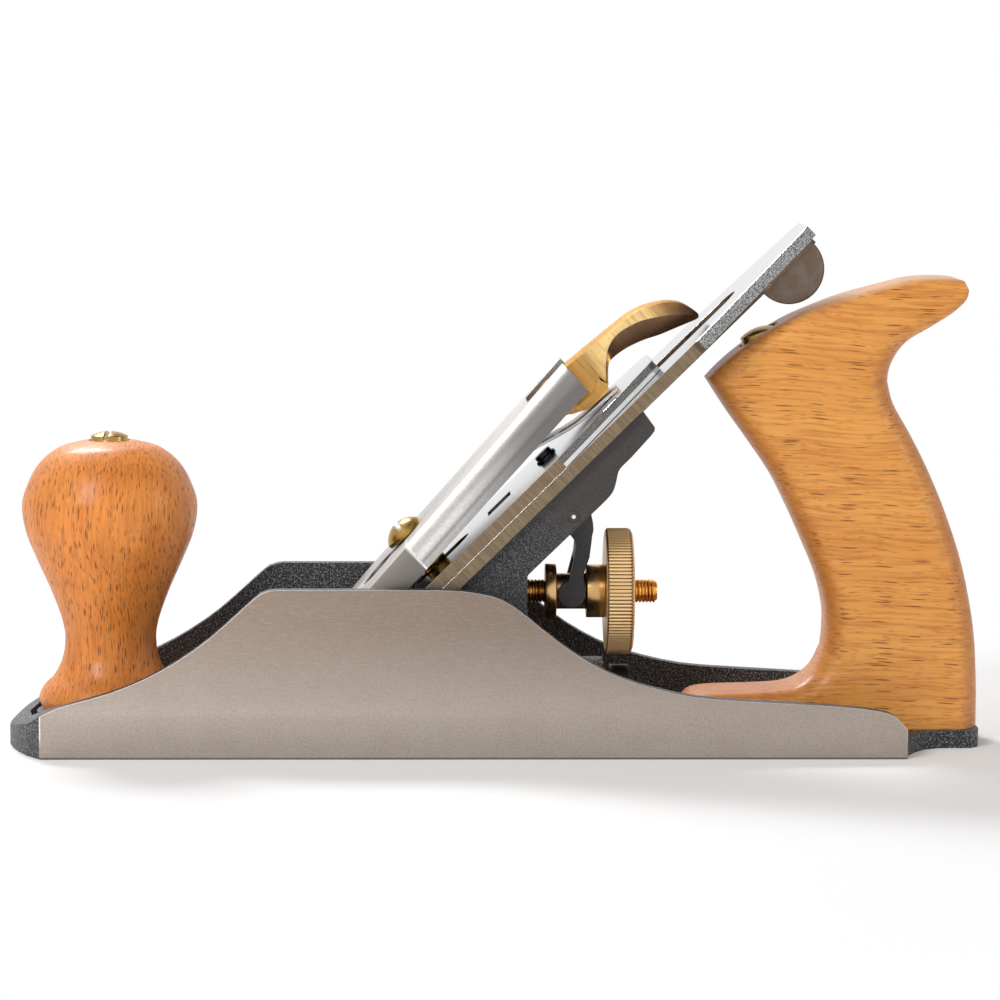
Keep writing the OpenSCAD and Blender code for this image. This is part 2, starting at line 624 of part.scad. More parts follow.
module cap_iron() {
    u0 = -1.8;
    half = [[u0, 0], [u0, blade_w / 2], [100, blade_w / 2],
        [cap_iron_top - 1.6, blade_w / 2 - 11.8], [cap_iron_top, blade_w / 2 - 13.4], [cap_iron_top, 0]];
    color(steel) on_bed() difference() {
        intersection() {
            translate([0, 0, blade_hi]) linear_extrude(cap_iron_t) both_sides(half);
            across(over_w) polygon([[u0, blade_hi], [u0 + 0.4, blade_hi + 0.9], [u0 + 4.8, iron_hi],
                [cap_iron_top + 9, iron_hi], [cap_iron_top + 9, blade_hi]]);
        }
        translate([0, 0, 1]) slot(50 + 4.75, 69 - 4.75, 9.5, 9);
        translate([76.1, -4.4, 1]) cube([7.9, 8.8, 9]);
        translate([iron_screw_u, 0, 1]) cylinder(d = iron_screw_d + 2 * fit, h = 9);
    }
}

module cap_iron_screw() {
    color(steel) on_bed() translate([iron_screw_u, 0, 0]) difference() {
        union() {
            translate([0, 0, blade_lo]) cylinder(d = iron_screw_d, h = iron_hi - blade_lo + 0.6);
            translate([0, 0, iron_hi + 0.6]) cylinder(d = iron_screw_d - 1.1, h = 1.2);
            translate([0, 0, -3.4]) cylinder(d = iron_head_d, h = 3.4 + blade_lo);
        }
        translate([-0.8, -8, -4]) cube([1.6, 16, 2]);
    }
}

function cap_under(u) = cap_lo + tan(cap_fall) * (u - 3);
function cap_over(u) = lever_cap_rise + cap_slope * (u - 43);

module lever_cap() {
    side = lever_cap_w / 2 - 4;
    b = lever_cap_w / 2 - 0.2;
    turn = atan(4.6 / (cap_end_u - 57));
    half = [[3, 0], [3, b + 0.2], [57, b + 0.2], [57.2, b], [cap_end_u, b - 4.6], [cap_end_u, 0]];
    color(steel) on_bed() difference() {
        intersection() {
            across(lever_cap_w) polygon([[3, cap_under(3)], [3, cap_lo + 0.8], [15, cap_over(15)],
                [cap_end_u, cap_over(cap_end_u)], [cap_end_u, cap_under(cap_end_u)]]);
            linear_extrude(40) both_sides(half);
        }
        // Rounded sides above the straight part
        for (s = [-1, 1]) translate([57.2, s * (b - cap_round), cap_over(57.2) - cap_round])
            rotate([0, -atan(cap_slope), -s * turn]) difference() {
                translate([0, s > 0 ? 0 : -cap_round - 4, 0]) cube([90, cap_round + 4, cap_round + 4]);
                translate([-5, 0, 0]) rotate([0, 90, 0]) cylinder(r = cap_round, h = 100);
            }
        // Hollow underside
        across(2 * side) polygon([[14, 0], [14, cap_over(14) - 5], [52, cap_over(52) - 5], [52, 0]]);
        across(2 * side - 12) polygon([[51, 0], [51, cap_over(51) - 4.5], [84, cap_over(84) - 4.5], [84, 0]]);
        // Keyhole
        slot(lcs_u - 11, lcs_u + 0.3, cap_screw_d + 0.5, 40);
        translate([lcs_u - 11, 0, 0]) cylinder(d = cap_screw_head_d + 0.9, h = 40);
        // Slot for the cam
        translate([103.6, -cam_w / 2 - 0.2, 0]) cube([40, cam_w + 0.4, 40]);
        translate([pin_u, -17.05, pin_w]) rotate([-90, 0, 0]) cylinder(d = cam_pin_d + 2 * fit, h = over_w);
        on_rivet() translate([0, 0, -2]) cylinder(d = 2.6 + 2 * fit, h = 10);
    }
}

// Axis of the rivet, square to the lever cap's underside
module on_rivet() {
    translate([rivet_u, 0, cap_under(rivet_u)]) rotate([0, -cap_fall, 0]) children();
}

// Line of the spring's upper face
spring_line = concat([[rivet_u - 4.4, cap_under(rivet_u - 4.4)]],
    curve([[rivet_u + 4, cap_under(rivet_u + 4)], [101, cap_lo + 3.5], [107, cap_lo + 1.95], [111.5, cap_lo + 1.35],
    [118, cap_lo + spring_t + 0.25], [122.6, cap_lo + spring_t]], 3));

module lever_cap_spring() {
    lower = [for (i = [len(spring_line) - 1 : -1 : 0]) [spring_line[i][0], spring_line[i][1] - spring_t]];
    color(steel) on_bed() difference() {
        across(spring_w) polygon(concat(spring_line, lower));
        on_rivet() translate([0, 0, -2]) cylinder(d = 2.6 + 2 * fit, h = 10);
    }
}

module spring_rivet() {
    color(steel) on_bed() on_rivet() {
        translate([0, 0, -spring_t - 0.01]) cylinder(d = 2.6, h = spring_t + 4);
        translate([0, 0, -spring_t - 0.91]) cylinder(d = 4.4, h = 0.9);
    }
}

module cam_pin() {
    color(steel) on_bed() translate([pin_u, -17, pin_w]) rotate([-90, 0, 0])
        cylinder(d = cam_pin_d, h = 17 + lever_cap_w / 2 - 4.9);
}

// Thumb piece stations: top, middle and low points of the side, then the two half widths
thumb = [[120.5, 19.7, 121.5, 10.2, 121.4, 9, 7.7, 5.6], [127.8, 19, 125.5, 14.2, 124.6, 12.3, 7.7, 5.2],
    [132, 18.6, 128.8, 16.3, 126.6, 13.1, 7.7, 4.8], [136.9, 18.1, 132.5, 16.8, 131, 12.5, 7.6, 4.2],
    [140.5, 17.2, 137.5, 15.6, 135.6, 10.9, 7.3, 3.6], [144, 15.5, 141.5, 13.4, 139.6, 8.9, 6.8, 3],
    [147, 13.4, 144.6, 11.2, 143.5, 7.3, 5.9, 2.4], [149.2, 10.7, 147.2, 8.9, 146.6, 6, 4.6, 1.8],
    [150.2, 7.4, 148.9, 6.5, 148.7, 5.1, 2.8, 1], [150.4, 5.5, 150, 5.1, 149.8, 4.8, 0.9, 0.4]];
function thumb_ring(t) = [[t[4], t[7], t[5]], [t[2], t[6], t[3]], [t[0], t[6], t[1]],
    [t[0], -t[6], t[1]], [t[2], -t[6], t[3]], [t[4], -t[7], t[5]]];

module cam_lever() {
    h = cam_w / 2;
    color(brass) on_bed() difference() {
        union() {
            across(cam_w) polygon([[109, 19.9], [118.4, 19.9], [122.2, 19.4], [122, 16.4], [121.3, 13.8],
                [120.8, 11.5], [121.5, 9.6], [120.8, 8.4], [117.4, 8.2], [115.8, 8.3], [113.2, 8.6], [109.6, 10.4],
                [106.2, 13.4], [106, 17.4]]);
            skin([for (t = thumb) thumb_ring(t)]);
            translate([pin_u, h, pin_w]) rotate([90, 0, 0]) cylinder(r = 4.6, h = cam_w);
        }
        // Scallop in each side behind the pin
        for (s = [-1, 1]) translate([0, s * (h + 1.3), 0]) across(4) polygon([[112, 21], [122.6, 21], [122.4, 19.1],
            [122, 16.4], [121.3, 13.8], [120.6, 12.2], [118.3, 10.9], [112, 10.9]]);
        translate([pin_u, -over_w / 2, pin_w]) rotate([-90, 0, 0]) cylinder(d = cam_pin_d + 2 * gap, h = over_w);
    }
}

body_casting();
front_knob();
knob_stud();
knob_nut();
rear_tote();
tote_stud();
tote_nut();
frog_fixing_screws();
frog_washers();
frog_casting();
frog_adjusting_clip();
frog_clip_screw();
frog_adjusting_screw();
lever_cap_screw();
adjuster_stud();
adjuster_spool();
adjuster_wheel();
yoke();
yoke_pin();
lateral_lever();
lateral_rivet();
lateral_roller();
blade();
cap_iron();
cap_iron_screw();
lever_cap();
lever_cap_spring();
spring_rivet();
cam_pin();
cam_lever();
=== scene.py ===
"""Looks of the smoothing plane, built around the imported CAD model.

Metres throughout, in the CAD model's own frame: toe at -X, heel at +X, near cheek at -Y, sole on z = 0.
"""
import json
import logging
import math
from dataclasses import dataclass, field
from enum import Enum
from typing import Callable, Sequence

import bmesh
import bpy
from mathutils import Matrix, Vector

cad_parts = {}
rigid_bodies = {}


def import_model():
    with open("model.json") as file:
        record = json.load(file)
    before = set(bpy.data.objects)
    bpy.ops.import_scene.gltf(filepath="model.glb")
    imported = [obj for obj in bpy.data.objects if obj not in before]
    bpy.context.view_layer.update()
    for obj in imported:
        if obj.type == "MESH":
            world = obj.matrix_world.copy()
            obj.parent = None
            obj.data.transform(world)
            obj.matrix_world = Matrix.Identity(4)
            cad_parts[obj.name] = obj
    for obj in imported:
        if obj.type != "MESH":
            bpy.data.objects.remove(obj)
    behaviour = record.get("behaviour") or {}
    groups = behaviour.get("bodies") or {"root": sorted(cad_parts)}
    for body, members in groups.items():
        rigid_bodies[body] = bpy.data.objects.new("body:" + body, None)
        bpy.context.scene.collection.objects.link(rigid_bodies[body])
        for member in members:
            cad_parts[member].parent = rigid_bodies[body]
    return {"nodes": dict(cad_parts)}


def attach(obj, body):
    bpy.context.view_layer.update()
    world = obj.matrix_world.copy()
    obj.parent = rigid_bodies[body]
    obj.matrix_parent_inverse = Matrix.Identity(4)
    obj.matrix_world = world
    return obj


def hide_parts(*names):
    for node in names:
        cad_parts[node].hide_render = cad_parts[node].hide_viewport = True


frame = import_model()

LOG = logging.getLogger("plane")
MM = 0.001
BED_ANGLE = math.radians(44.55)
BED_UP = Vector((math.cos(BED_ANGLE), 0.0, math.sin(BED_ANGLE)))
BED_OUT = Vector((-math.sin(BED_ANGLE), 0.0, math.cos(BED_ANGLE)))
BED_START = Vector((-51.317, 0.0, 0.42)) * MM
STUD_Z = 38.6
RIM_RADIUS = 15.72
FACETS = 48
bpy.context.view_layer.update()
Triple = tuple[float, float, float]
Colour = Triple
Rows = tuple[tuple[float, ...], ...]
Material = bpy.types.Material
Piece = bpy.types.Object
WHITE: Colour = (1.0, 1.0, 1.0)


class Grain(Enum):
    """The way the beech's grain runs in a wooden piece."""

    UPRIGHT = "upright"
    LENGTHWISE = "lengthwise"


class Shaping(Enum):
    """What a tool does to a piece."""

    JOIN = "UNION"
    CUT = "DIFFERENCE"


# Shader expressions


class Sock:
    """A shader socket that takes part in Python expressions."""

    def __init__(self, tree: "Tree", socket: bpy.types.NodeSocket | None) -> None:
        """Keep the tree and the output socket."""
        self.tree = tree
        self.socket = socket

    def _math(self, operation: str, *values: "Sock | float") -> "Sock":
        """Add a Math node of this operation over the values."""
        return self.tree.node("ShaderNodeMath", {"operation": operation}, dict(enumerate(values)))

    def __add__(self, other: "Sock | float") -> "Sock":
        """Sum."""
        return self._math("ADD", self, other)

    __radd__ = __add__

    def __sub__(self, other: "Sock | float") -> "Sock":
        """Difference."""
        return self._math("SUBTRACT", self, other)

    def __rsub__(self, other: "Sock | float") -> "Sock":
        """Difference the other way round."""
        return self._math("SUBTRACT", other, self)

    def __mul__(self, other: "Sock | float") -> "Sock":
        """Product."""
        return self._math("MULTIPLY", self, other)

    __rmul__ = __mul__

    def __truediv__(self, other: "Sock | float") -> "Sock":
        """Quotient."""
        return self._math("DIVIDE", self, other)

    def __rtruediv__(self, other: "Sock | float") -> "Sock":
        """Quotient the other way round."""
        return self._math("DIVIDE", other, self)

    def __neg__(self) -> "Sock":
        """Opposite."""
        return self._math("MULTIPLY", self, -1.0)

    def __abs__(self) -> "Sock":
        """Size without its sign."""
        return self._math("ABSOLUTE", self)

    def root(self) -> "Sock":
        """Square root."""
        return self._math("SQRT", self)

    def larger(self, other: "Sock | float") -> "Sock":
        """The larger of the two."""
        return self._math("MAXIMUM", self, other)

    def over(self, low: float, high: float) -> "Sock":
        """Smooth step from 0 at low to 1 at high."""
        return self.tree.node(
            "ShaderNodeMapRange", {"interpolation_type": "SMOOTHSTEP"},
            {"Value": self, "From Min": low, "From Max": high})

    def under(self, low: float, high: float) -> "Sock":
        """Smooth step from 1 at low to 0 at high."""
        return 1.0 - self.over(low, high)

    def twin(self, out: int | str) -> "Sock":
        """Another output of the same node."""
        return Sock(self.tree, self.socket.node.outputs[out])


class Tree:
    """Node tree of a material or a world, with one method that adds any node."""

    def __init__(self, owner: Material | bpy.types.World) -> None:
        """Empty the owner's tree.

        Args:
            owner: the material or world that the tree belongs to.
        """
        owner.use_nodes = True
        self.owner = owner
        self.nodes = owner.node_tree.nodes
        self.links = owner.node_tree.links
        self.nodes.clear()

    @classmethod
    def named(cls, name: str) -> "Tree":
        """Tree of a new material."""
        return cls(bpy.data.materials.new(name))

    def put(self, socket: bpy.types.NodeSocket, value: object) -> None:
        """Set or link one socket.

        Args:
            socket: the input socket.
            value: a value, or an expression to link; a colour may leave out its alpha.
        """
        if isinstance(value, Sock):
            self.links.new(value.socket, socket)
        else:
            if isinstance(value, tuple) and len(value) == 3 and socket.type == "RGBA":
                value = (*value, 1.0)
            socket.default_value = value

    def node(self, kind: str, settings: dict | None = None, values: dict | None = None,
             out: int | str = 0) -> Sock:
        """Add a node.

        Args:
            kind: the node's type.
            settings: its own settings, set first.
            values: values or links of its input sockets, by name or number.
            out: the output to hand back.

        Returns:
            That output as an expression.
        """
        made = self.nodes.new(kind)
        for key, value in (settings or {}).items():
            setattr(made, key, value)
        for key, value in (values or {}).items():
            self.put(made.inputs[key], value)
        return Sock(self, made.outputs[out] if len(made.outputs) else None)

    def place(self) -> Sock:
        """Object coordinates."""
        return self.node("ShaderNodeTexCoord", out="Object")

    def facing(self) -> Sock:
        """The object's own normal."""
        return self.node("ShaderNodeTexCoord", out="Normal")

    def split(self, vector: Sock) -> tuple[Sock, Sock, Sock]:
        """The three parts of a vector."""
        x = self.node("ShaderNodeSeparateXYZ", None, {0: vector})
        return x, x.twin(1), x.twin(2)

    def join(self, x: "Sock | float", y: "Sock | float", z: "Sock | float") -> Sock:
        """A vector from three parts."""
        return self.node("ShaderNodeCombineXYZ", None, {0: x, 1: y, 2: z})

    def dot(self, vector: Sock, way: Vector) -> Sock:
        """How far a vector reaches along a direction."""
        return self.node(
            "ShaderNodeVectorMath", {"operation": "DOT_PRODUCT"}, {0: vector, 1: tuple(way)}, "Value")

    def on_bed(self, place: Sock) -> tuple[Sock, Sock]:
        """Distances of a place up the bed and out of it, in metres."""
        return (self.dot(place, BED_UP) - BED_START.dot(BED_UP),
                self.dot(place, BED_OUT) - BED_START.dot(BED_OUT))

    def ring(self, a: Sock, b: Sock) -> Sock:
        """Distance from an axis, given the two distances across it."""
        return (a * a + b * b).root()

    def noise(self, vector: Sock, scale: float, detail: float, rough: float = 0.55) -> Sock:
        """Fractal noise around 0.5: its place, fineness, octaves and the weight of the fine ones."""
        return self.node("ShaderNodeTexNoise", None,
                         {"Vector": vector, "Scale": scale, "Detail": detail, "Roughness": rough})

    def mix(self, share: "Sock | float", first: "Sock | Colour", second: "Sock | Colour") -> Sock:
        """Mix of two colours, where a share of 1 gives the second."""
        return self.node("ShaderNodeMix", {"data_type": "RGBA"}, {0: share, 6: first, 7: second}, 2)

    def bump(self, height: Sock, depth: float, strength: float) -> Sock:
        """Normal bent by a height map, with its relief in metres and the share that is used."""
        return self.node("ShaderNodeBump", None,
                         {"Height": height, "Distance": depth, "Strength": strength})

    def surface(self, **inputs: object) -> Material:
        """Finish the material with one Principled shader.

        Args:
            inputs: its sockets, with underscores for spaces.

        Returns:
            The material.
        """
        shader = self.node("ShaderNodeBsdfPrincipled", None,
                           {key.replace("_", " "): value for key, value in inputs.items()})
        self.node("ShaderNodeOutputMaterial", None, {"Surface": shader})
        return self.owner


# Finishes


def darker(colour: Colour, share: float) -> Colour:
    """A share of a colour's brightness.

    Args:
        colour: the colour.
        share: how much of it stays.

    Returns:
        The darker colour.
    """
    return tuple(c * share for c in colour)


@dataclass(frozen=True)
class GroundIron:
    """Ground flanks and sole with a painted highlight along the flanks' top edges, and coarse black paint on
    the rest of the casting.
    """

    low: Colour = (0.475, 0.415, 0.365)
    high: Colour = (0.265, 0.2, 0.156)
    # Colour of the painted highlight along the flanks' top edges.
    edge_highlight: Colour = (0.88, 0.86, 0.83)
    paint: Colour = (0.007, 0.0075, 0.008)
    grit: Colour = (0.31, 0.33, 0.36)
    stain: Colour = (0.29, 0.23, 0.19)
    pit: Colour = (0.2, 0.155, 0.125)
    scratch: Colour = (0.5, 0.44, 0.39)
    sole_edge: Colour = (0.09, 0.08, 0.075)
    half_width: float = 31.0 * MM
    cloud_scale: float = 90.0
    fine_scale: float = 1900.0
    paint_scale: float = 1300.0
    grit_scale: float = 2300.0

    def material(self) -> Material:
        """Build the two-part finish.

        Returns:
            The material.
        """
        t = Tree.named("ground_iron")
        p = t.place()
        x, y, z = t.split(p)
        _, ny, nz = t.split(t.facing())
        flank = abs(y).over(self.half_width - 0.75 * MM, self.half_width - 0.42 * MM) * abs(ny).over(0.25, 0.4)
        bare = flank.larger((-z).over(-0.45 * MM, -0.2 * MM) * (-nz).over(0.25, 0.4))
        # edge masks the painted highlight along the flanks' top edges.
        edge = flank * abs(ny).under(0.8, 0.95) * z.over(3.0 * MM, 6.0 * MM)
        cloud = t.noise(p, self.cloud_scale, 4.0, 0.6)
        fine = t.noise(p, self.fine_scale, 3.0, 0.65)
        lines = t.noise(t.join(x * 500.0, y * 40.0, z * 4200.0), 1.0, 2.0)
        grey = t.mix(z.over(-4.0 * MM, 44.0 * MM), self.low, self.high)
        grey = t.mix(cloud.over(0.35, 0.75) * 0.15, grey, self.stain)
        grey = t.mix(fine.over(0.4, 0.68) * 0.3, grey, self.pit)
        grey = t.mix(lines.over(0.45, 0.75) * 0.22, grey, self.scratch)
        grey = t.mix(z.under(0.2 * MM, 0.7 * MM) * abs(ny).over(0.2, 0.3) * 0.85, grey, self.sole_edge)
        # Painted highlight along the flanks' top edges.
        grey = t.mix(edge, grey, self.edge_highlight)
        grain = t.noise(p, self.paint_scale, 4.0, 0.65)
        speck = t.noise(p, self.grit_scale, 2.0)
        black = t.mix(speck.over(0.49, 0.66) * 0.8, self.paint, self.grit)
        return t.surface(
            Base_Color=t.mix(bare, black, grey), Metallic=bare * 0.7,
            Roughness=0.42 + bare * 0.02 + fine * 0.06,
            Normal=t.bump(grain * (1.0 - bare) + fine * bare * 0.02, 0.8 * MM, 0.8))


@dataclass(frozen=True)
class BlackPaint:
    """Black paint, coarse low on the frog and smooth and brownish towards its rear."""

    name: str = "black_paint"
    paint: Colour = (0.009, 0.0095, 0.011)
    grit: Colour = (0.13, 0.135, 0.145)
    smooth: Colour = (0.045, 0.038, 0.034)
    smooth_from: float = 78.0 * MM
    grain: float = 0.4
    cloud_scale: float = 110.0
    paint_scale: float = 1700.0
    grit_scale: float = 2600.0

    def material(self) -> Material:
        """Build the paint.

        Returns:
            The material.
        """
        t = Tree.named(self.name)
        p = t.place()
        u, _ = t.on_bed(p)
        wide = t.noise(p, self.cloud_scale, 3.0)
        fine = t.noise(p, self.paint_scale, 4.0, 0.65)
        speck = t.noise(p, self.grit_scale, 2.0)
        rear = (u + (wide - 0.5) * 0.03).over(self.smooth_from, self.smooth_from + 0.02)
        coarse = t.mix(speck.over(0.45, 0.64) * 0.85, self.paint, self.grit)
        calm = t.mix(fine.over(0.4, 0.75) * 0.6, self.smooth, darker(self.smooth, 0.45))
        calm = t.mix(speck.over(0.55, 0.7) * 0.22, calm, self.grit)
        return t.surface(
            Base_Color=t.mix(rear, coarse, calm), Roughness=0.45 + fine * 0.12,
            Normal=t.bump(fine * (1.0 - rear * 0.6), self.grain * MM, 0.8))


@dataclass(frozen=True)
class Beech:
    """Lacquered beech with growth rings and short dark flecks along the grain, with painted shade on faces
    turned towards the toe or heel and on low upturned faces, and a painted reflection on the top.
    """

    name: str
    grain: Grain
    light: Colour
    deep: Colour
    # Colour of the painted reflection on upturned faces near the top.
    top: Colour
    flecks: Rows
    fleck: Colour = (0.22, 0.055, 0.012)
    streak: Colour = (0.5, 0.15, 0.026)
    # Colour and weight of the painted shade on faces turned towards the toe or heel and on low upturned faces.
    painted_shade_colour: Colour = (0.42, 0.13, 0.028)
    burnish: float = 1.0

    def material(self) -> Material:
        """Build the wood; each fleck layer is cell length, cell width, share and strength, in mm.

        Returns:
            The material.
        """
        t = Tree.named(self.name)
        p = t.place()
        x, y, z = t.split(p)
        nx, _, nz = t.split(t.facing())
        warp = t.noise(p, 20.0, 2.0)
        if self.grain is Grain.UPRIGHT:
            along, side = z + x * 0.03, x + 0.098
        else:
            along, side = x - z * 0.04, z + x * 0.04
        side = side + (warp - 0.5) * 0.007
        growth = t.noise(t.join(t.ring(side + 0.03, y - 0.07) * 420.0, along * 6.0, warp), 1.0, 3.0, 0.55)
        band = t.noise(t.join(along * 9.0, side * 55.0, y * 45.0), 1.0, 2.0)
        fibre = t.noise(t.join(along * 70.0, side * 1500.0, y * 400.0), 1.0, 4.0, 0.6)
        tone = t.mix(growth.over(0.32, 0.68) * 0.45 + band.over(0.35, 0.7) * 0.4, self.light, self.deep)
        tone = t.mix(fibre.over(0.42, 0.68) * 0.6, tone, self.streak)
        for length, width, share, strength in self.flecks:
            near = t.node("ShaderNodeTexVoronoi", None, {"Scale": 1.0, "Vector": t.join(
                along * (1000.0 / length), side * (1000.0 / width), y * (250.0 / width))}, "Distance")
            pick, _, _ = t.split(near.twin("Color"))
            mark = near.under(0.17, 0.33) * pick.over(1.0 - share, 1.06 - share)
            tone = t.mix(mark * strength, tone, self.fleck)
        # Painted shade on faces turned towards the toe or heel and on upturned faces low on the piece.
        painted_shade_mask = (abs(nx).over(0.3, 0.85) * 0.55).larger(
            nz.over(0.25, 0.8) * z.under(40.0 * MM, 50.0 * MM) * 0.7)
        tone = t.mix(painted_shade_mask * self.burnish, tone, self.painted_shade_colour)
        # Painted reflection: upturned faces near the top are tinted towards the top colour.
        tone = t.mix(nz.over(0.72, 0.86) * z.over(85.0 * MM, 90.0 * MM) * 0.6, tone, self.top)
        return t.surface(
            Base_Color=tone, Roughness=0.42 + fibre * 0.14, Coat_Weight=0.2, Coat_Roughness=0.2,
            Specular_IOR_Level=0.3, Normal=t.bump(fibre, 0.035 * MM, 0.5))


@dataclass(frozen=True)
class Brass:
    """Turned brass with fine tool lines, and painted shade in the grooves where a knurled rim has them."""

    name: str
    colour: Colour = (0.72, 0.45, 0.2)
    dull: Colour = (0.42, 0.23, 0.085)
    painted_groove_shade: Colour = (0.13, 0.05, 0.016)
    line_axis: Triple = (1.0, 0.0, 0.0)
    line_scale: float = 5200.0
    roughness: float = 0.2
    metallic: float = 1.0
    rim: float = 0.0
    cloud_scale: float = 140.0

    def material(self) -> Material:
        """Build the brass.

        Returns:
            The material.
        """
        t = Tree.named(self.name)
        p = t.place()
        x, y, z = t.split(p)
        lines = t.noise(
            t.join(t.dot(p, Vector(self.line_axis)) * self.line_scale, (x + z) * 55.0, y * 55.0), 1.0, 2.0)
        cloud = t.noise(p, self.cloud_scale, 3.0)
        tone = t.mix(cloud.over(0.35, 0.75) * 0.3, self.colour, self.dull)
        tone = t.mix(lines.over(0.5, 0.85) * 0.35, tone, self.dull)
        # Painted shade in the grooves at the foot of the knurl's ridges.
        if self.rim > 0.0:
            out = t.ring(y, z - STUD_Z * MM)
            low = out.over((self.rim - 0.4) * MM, (self.rim - 0.2) * MM) * out.under(
                (self.rim + 0.1) * MM, (self.rim + 0.34) * MM)
            tone = t.mix(low * 0.95, tone, self.painted_groove_shade)
        return t.surface(
            Base_Color=tone, Metallic=self.metallic, Roughness=self.roughness + lines * 0.14,
            Normal=t.bump(lines, 0.03 * MM, 0.6))


@dataclass(frozen=True)
class CamBrass:
    """Ground brass of the cam: its own colour on top and tan on the sides, with a painted highlight band along
    the sides and painted shade under the edge and at both ends.
    """

    top: Colour = (0.62, 0.36, 0.13)
    side: Colour = (0.62, 0.34, 0.09)
    # Painted highlight band along the sides, and painted shade at both ends and under the edge.
    painted_highlight: Colour = (0.95, 0.66, 0.29)
    nose: Colour = (0.34, 0.175, 0.065)
    under: Colour = (0.17, 0.1, 0.062)
    scratch: Colour = (0.3, 0.15, 0.055)
    tint: Colour = (0.85, 0.62, 0.34)
    scuff_scale: float = 420.0

    def material(self) -> Material:
        """Build the ground brass.

        Returns:
            The material.
        """
        t = Tree.named("cam_brass")
        p = t.place()
        _, y, _ = t.split(p)
        u, w = t.on_bed(p)
        face = t.dot(t.facing(), BED_OUT)
        lines = t.noise(t.join(u * 2600.0, y * 60.0, w * 120.0), 1.0, 3.0, 0.6)
        scuff = t.noise(p, self.scuff_scale, 3.0)
        # Painted light: a painted highlight band along the sides, and painted shade at both ends and on the
        # faces under the edge.
        end = u.under(107.0 * MM, 112.0 * MM).larger(u.over(140.0 * MM, 147.0 * MM))
        tone = t.mix(u.over(119.0 * MM, 126.0 * MM), self.side, self.painted_highlight)
        tone = t.mix(end, tone, self.nose)
        tone = t.mix(face.over(0.35, 0.8), tone, self.top)
        tone = t.mix((-face).over(0.1, 0.4) * u.over(121.0 * MM, 124.0 * MM), tone, self.under)
        tone = t.mix(lines.over(0.42, 0.72) * 0.5 + scuff.over(0.5, 0.8) * 0.2, tone, self.scratch)
        return t.surface(
            Base_Color=tone, Metallic=0.8, Roughness=0.28 + lines * 0.16, Specular_Tint=self.tint,
            Normal=t.bump(lines, 0.04 * MM, 0.6))


@dataclass(frozen=True)
class Steel:
    """Plain steel, bright or blackened."""

    name: str
    colour: Colour = (0.62, 0.61, 0.6)
    roughness: float = 0.25
    grain: float = 2400.0
    relief: float = 0.02
    cloud_scale: float = 160.0

    def material(self) -> Material:
        """Build the steel.

        Returns:
            The material.
        """
        t = Tree.named(self.name)
        p = t.place()
        fine = t.noise(p, self.grain, 3.0)
        cloud = t.noise(p, self.cloud_scale, 3.0)
        return t.surface(
            Base_Color=t.mix(cloud.over(0.3, 0.75) * 0.35, self.colour, darker(self.colour, 0.72)),
            Metallic=1.0, Roughness=self.roughness + fine * 0.12,
            Normal=t.bump(fine, self.relief * MM, 0.5))


@dataclass(frozen=True)
class RoundEnd:
    """Steel whose look changes with the distance from an axis across the plane."""

    name: str
    up: float
    out: float
    radius: float
    inner: Colour
    outer: Colour
    stain: Colour
    fine_scale: float = 1500.0
    cloud_scale: float = 170.0

    def material(self) -> Material:
        """Build the steel.

        Returns:
            The material.
        """
        t = Tree.named(self.name)
        p = t.place()
        u, w = t.on_bed(p)
        away = t.ring(u - self.up * MM, w - self.out * MM)
        fine = t.noise(p, self.fine_scale, 3.0, 0.65)
        cloud = t.noise(p, self.cloud_scale, 3.0)
        # For the pin, inner and stain make a painted glint on its end.
        tone = t.mix(cloud.over(0.35, 0.7) * 0.7, self.inner, self.stain)
        tone = t.mix(fine.over(0.45, 0.75) * 0.3, tone, darker(self.inner, 0.5))
        tone = t.mix((w - (self.out - 2.6) * MM).over(0.0, 3.0 * MM) * 0.5, tone, self.stain)
        tone = t.mix(away.over(self.radius * MM, (self.radius + 0.15) * MM), tone, self.outer)
        return t.surface(
            Base_Color=tone, Metallic=0.7, Roughness=0.4 + fine * 0.12, Normal=t.bump(fine, 0.05 * MM, 0.5))


@dataclass(frozen=True)
class SatinCap:
    """Satin steel of the lever cap, bright on top, with painted shade down its sides and a painted highlight
    along the step.
    """

    top: Colour = (0.62, 0.6, 0.58)
    # side, low and upper are painted shade on the sides; the edge highlight is a painted highlight along the
    # step.
    side: Colour = (0.2, 0.185, 0.175)
    low: Colour = (0.235, 0.21, 0.187)
    upper: Colour = (0.52, 0.5, 0.485)
    edge_highlight: Colour = (0.9, 0.9, 0.9)
    speck: Colour = (0.2, 0.195, 0.19)
    tint: Colour = (0.58, 0.57, 0.56)
    step: float = 57.1 * MM
    fine_scale: float = 1500.0
    cloud_scale: float = 60.0

    def material(self) -> Material:
        """Build the satin steel.

        Returns:
            The material.
        """
        t = Tree.named("satin_steel")
        p = t.place()
        _, ny, _ = t.split(t.facing())
        u, _ = t.on_bed(p)
        fine = t.noise(p, self.fine_scale, 4.0, 0.7)
        cloud = t.noise(p, self.cloud_scale, 2.0)
        # Painted shade: the sides are painted grey, darker further up the bed, and darker again below the
        # step; a painted highlight runs along the step.
        grey = t.mix(u.over(68.0 * MM, 104.0 * MM) + (cloud - 0.5) * 0.4, self.upper, self.side)
        tone = t.mix(abs(ny).over(0.35, 0.9), self.top, grey)
        tone = t.mix(u.under(self.step - 0.2 * MM, self.step) * abs(ny).over(0.6, 0.9), tone, self.low)
        step_highlight = u.over(self.step - 0.35 * MM, self.step - 0.1 * MM) * u.under(
            self.step + 0.3 * MM, self.step + 0.5 * MM)
        tone = t.mix(step_highlight * 0.9, tone, self.edge_highlight)
        tone = t.mix(fine.over(0.4, 0.7) * 0.28, tone, self.speck)
        return t.surface(
            Base_Color=tone, Metallic=0.9, Roughness=0.42 + fine * 0.1, Specular_Tint=self.tint,
            Normal=t.bump(fine, 0.06 * MM, 0.5))


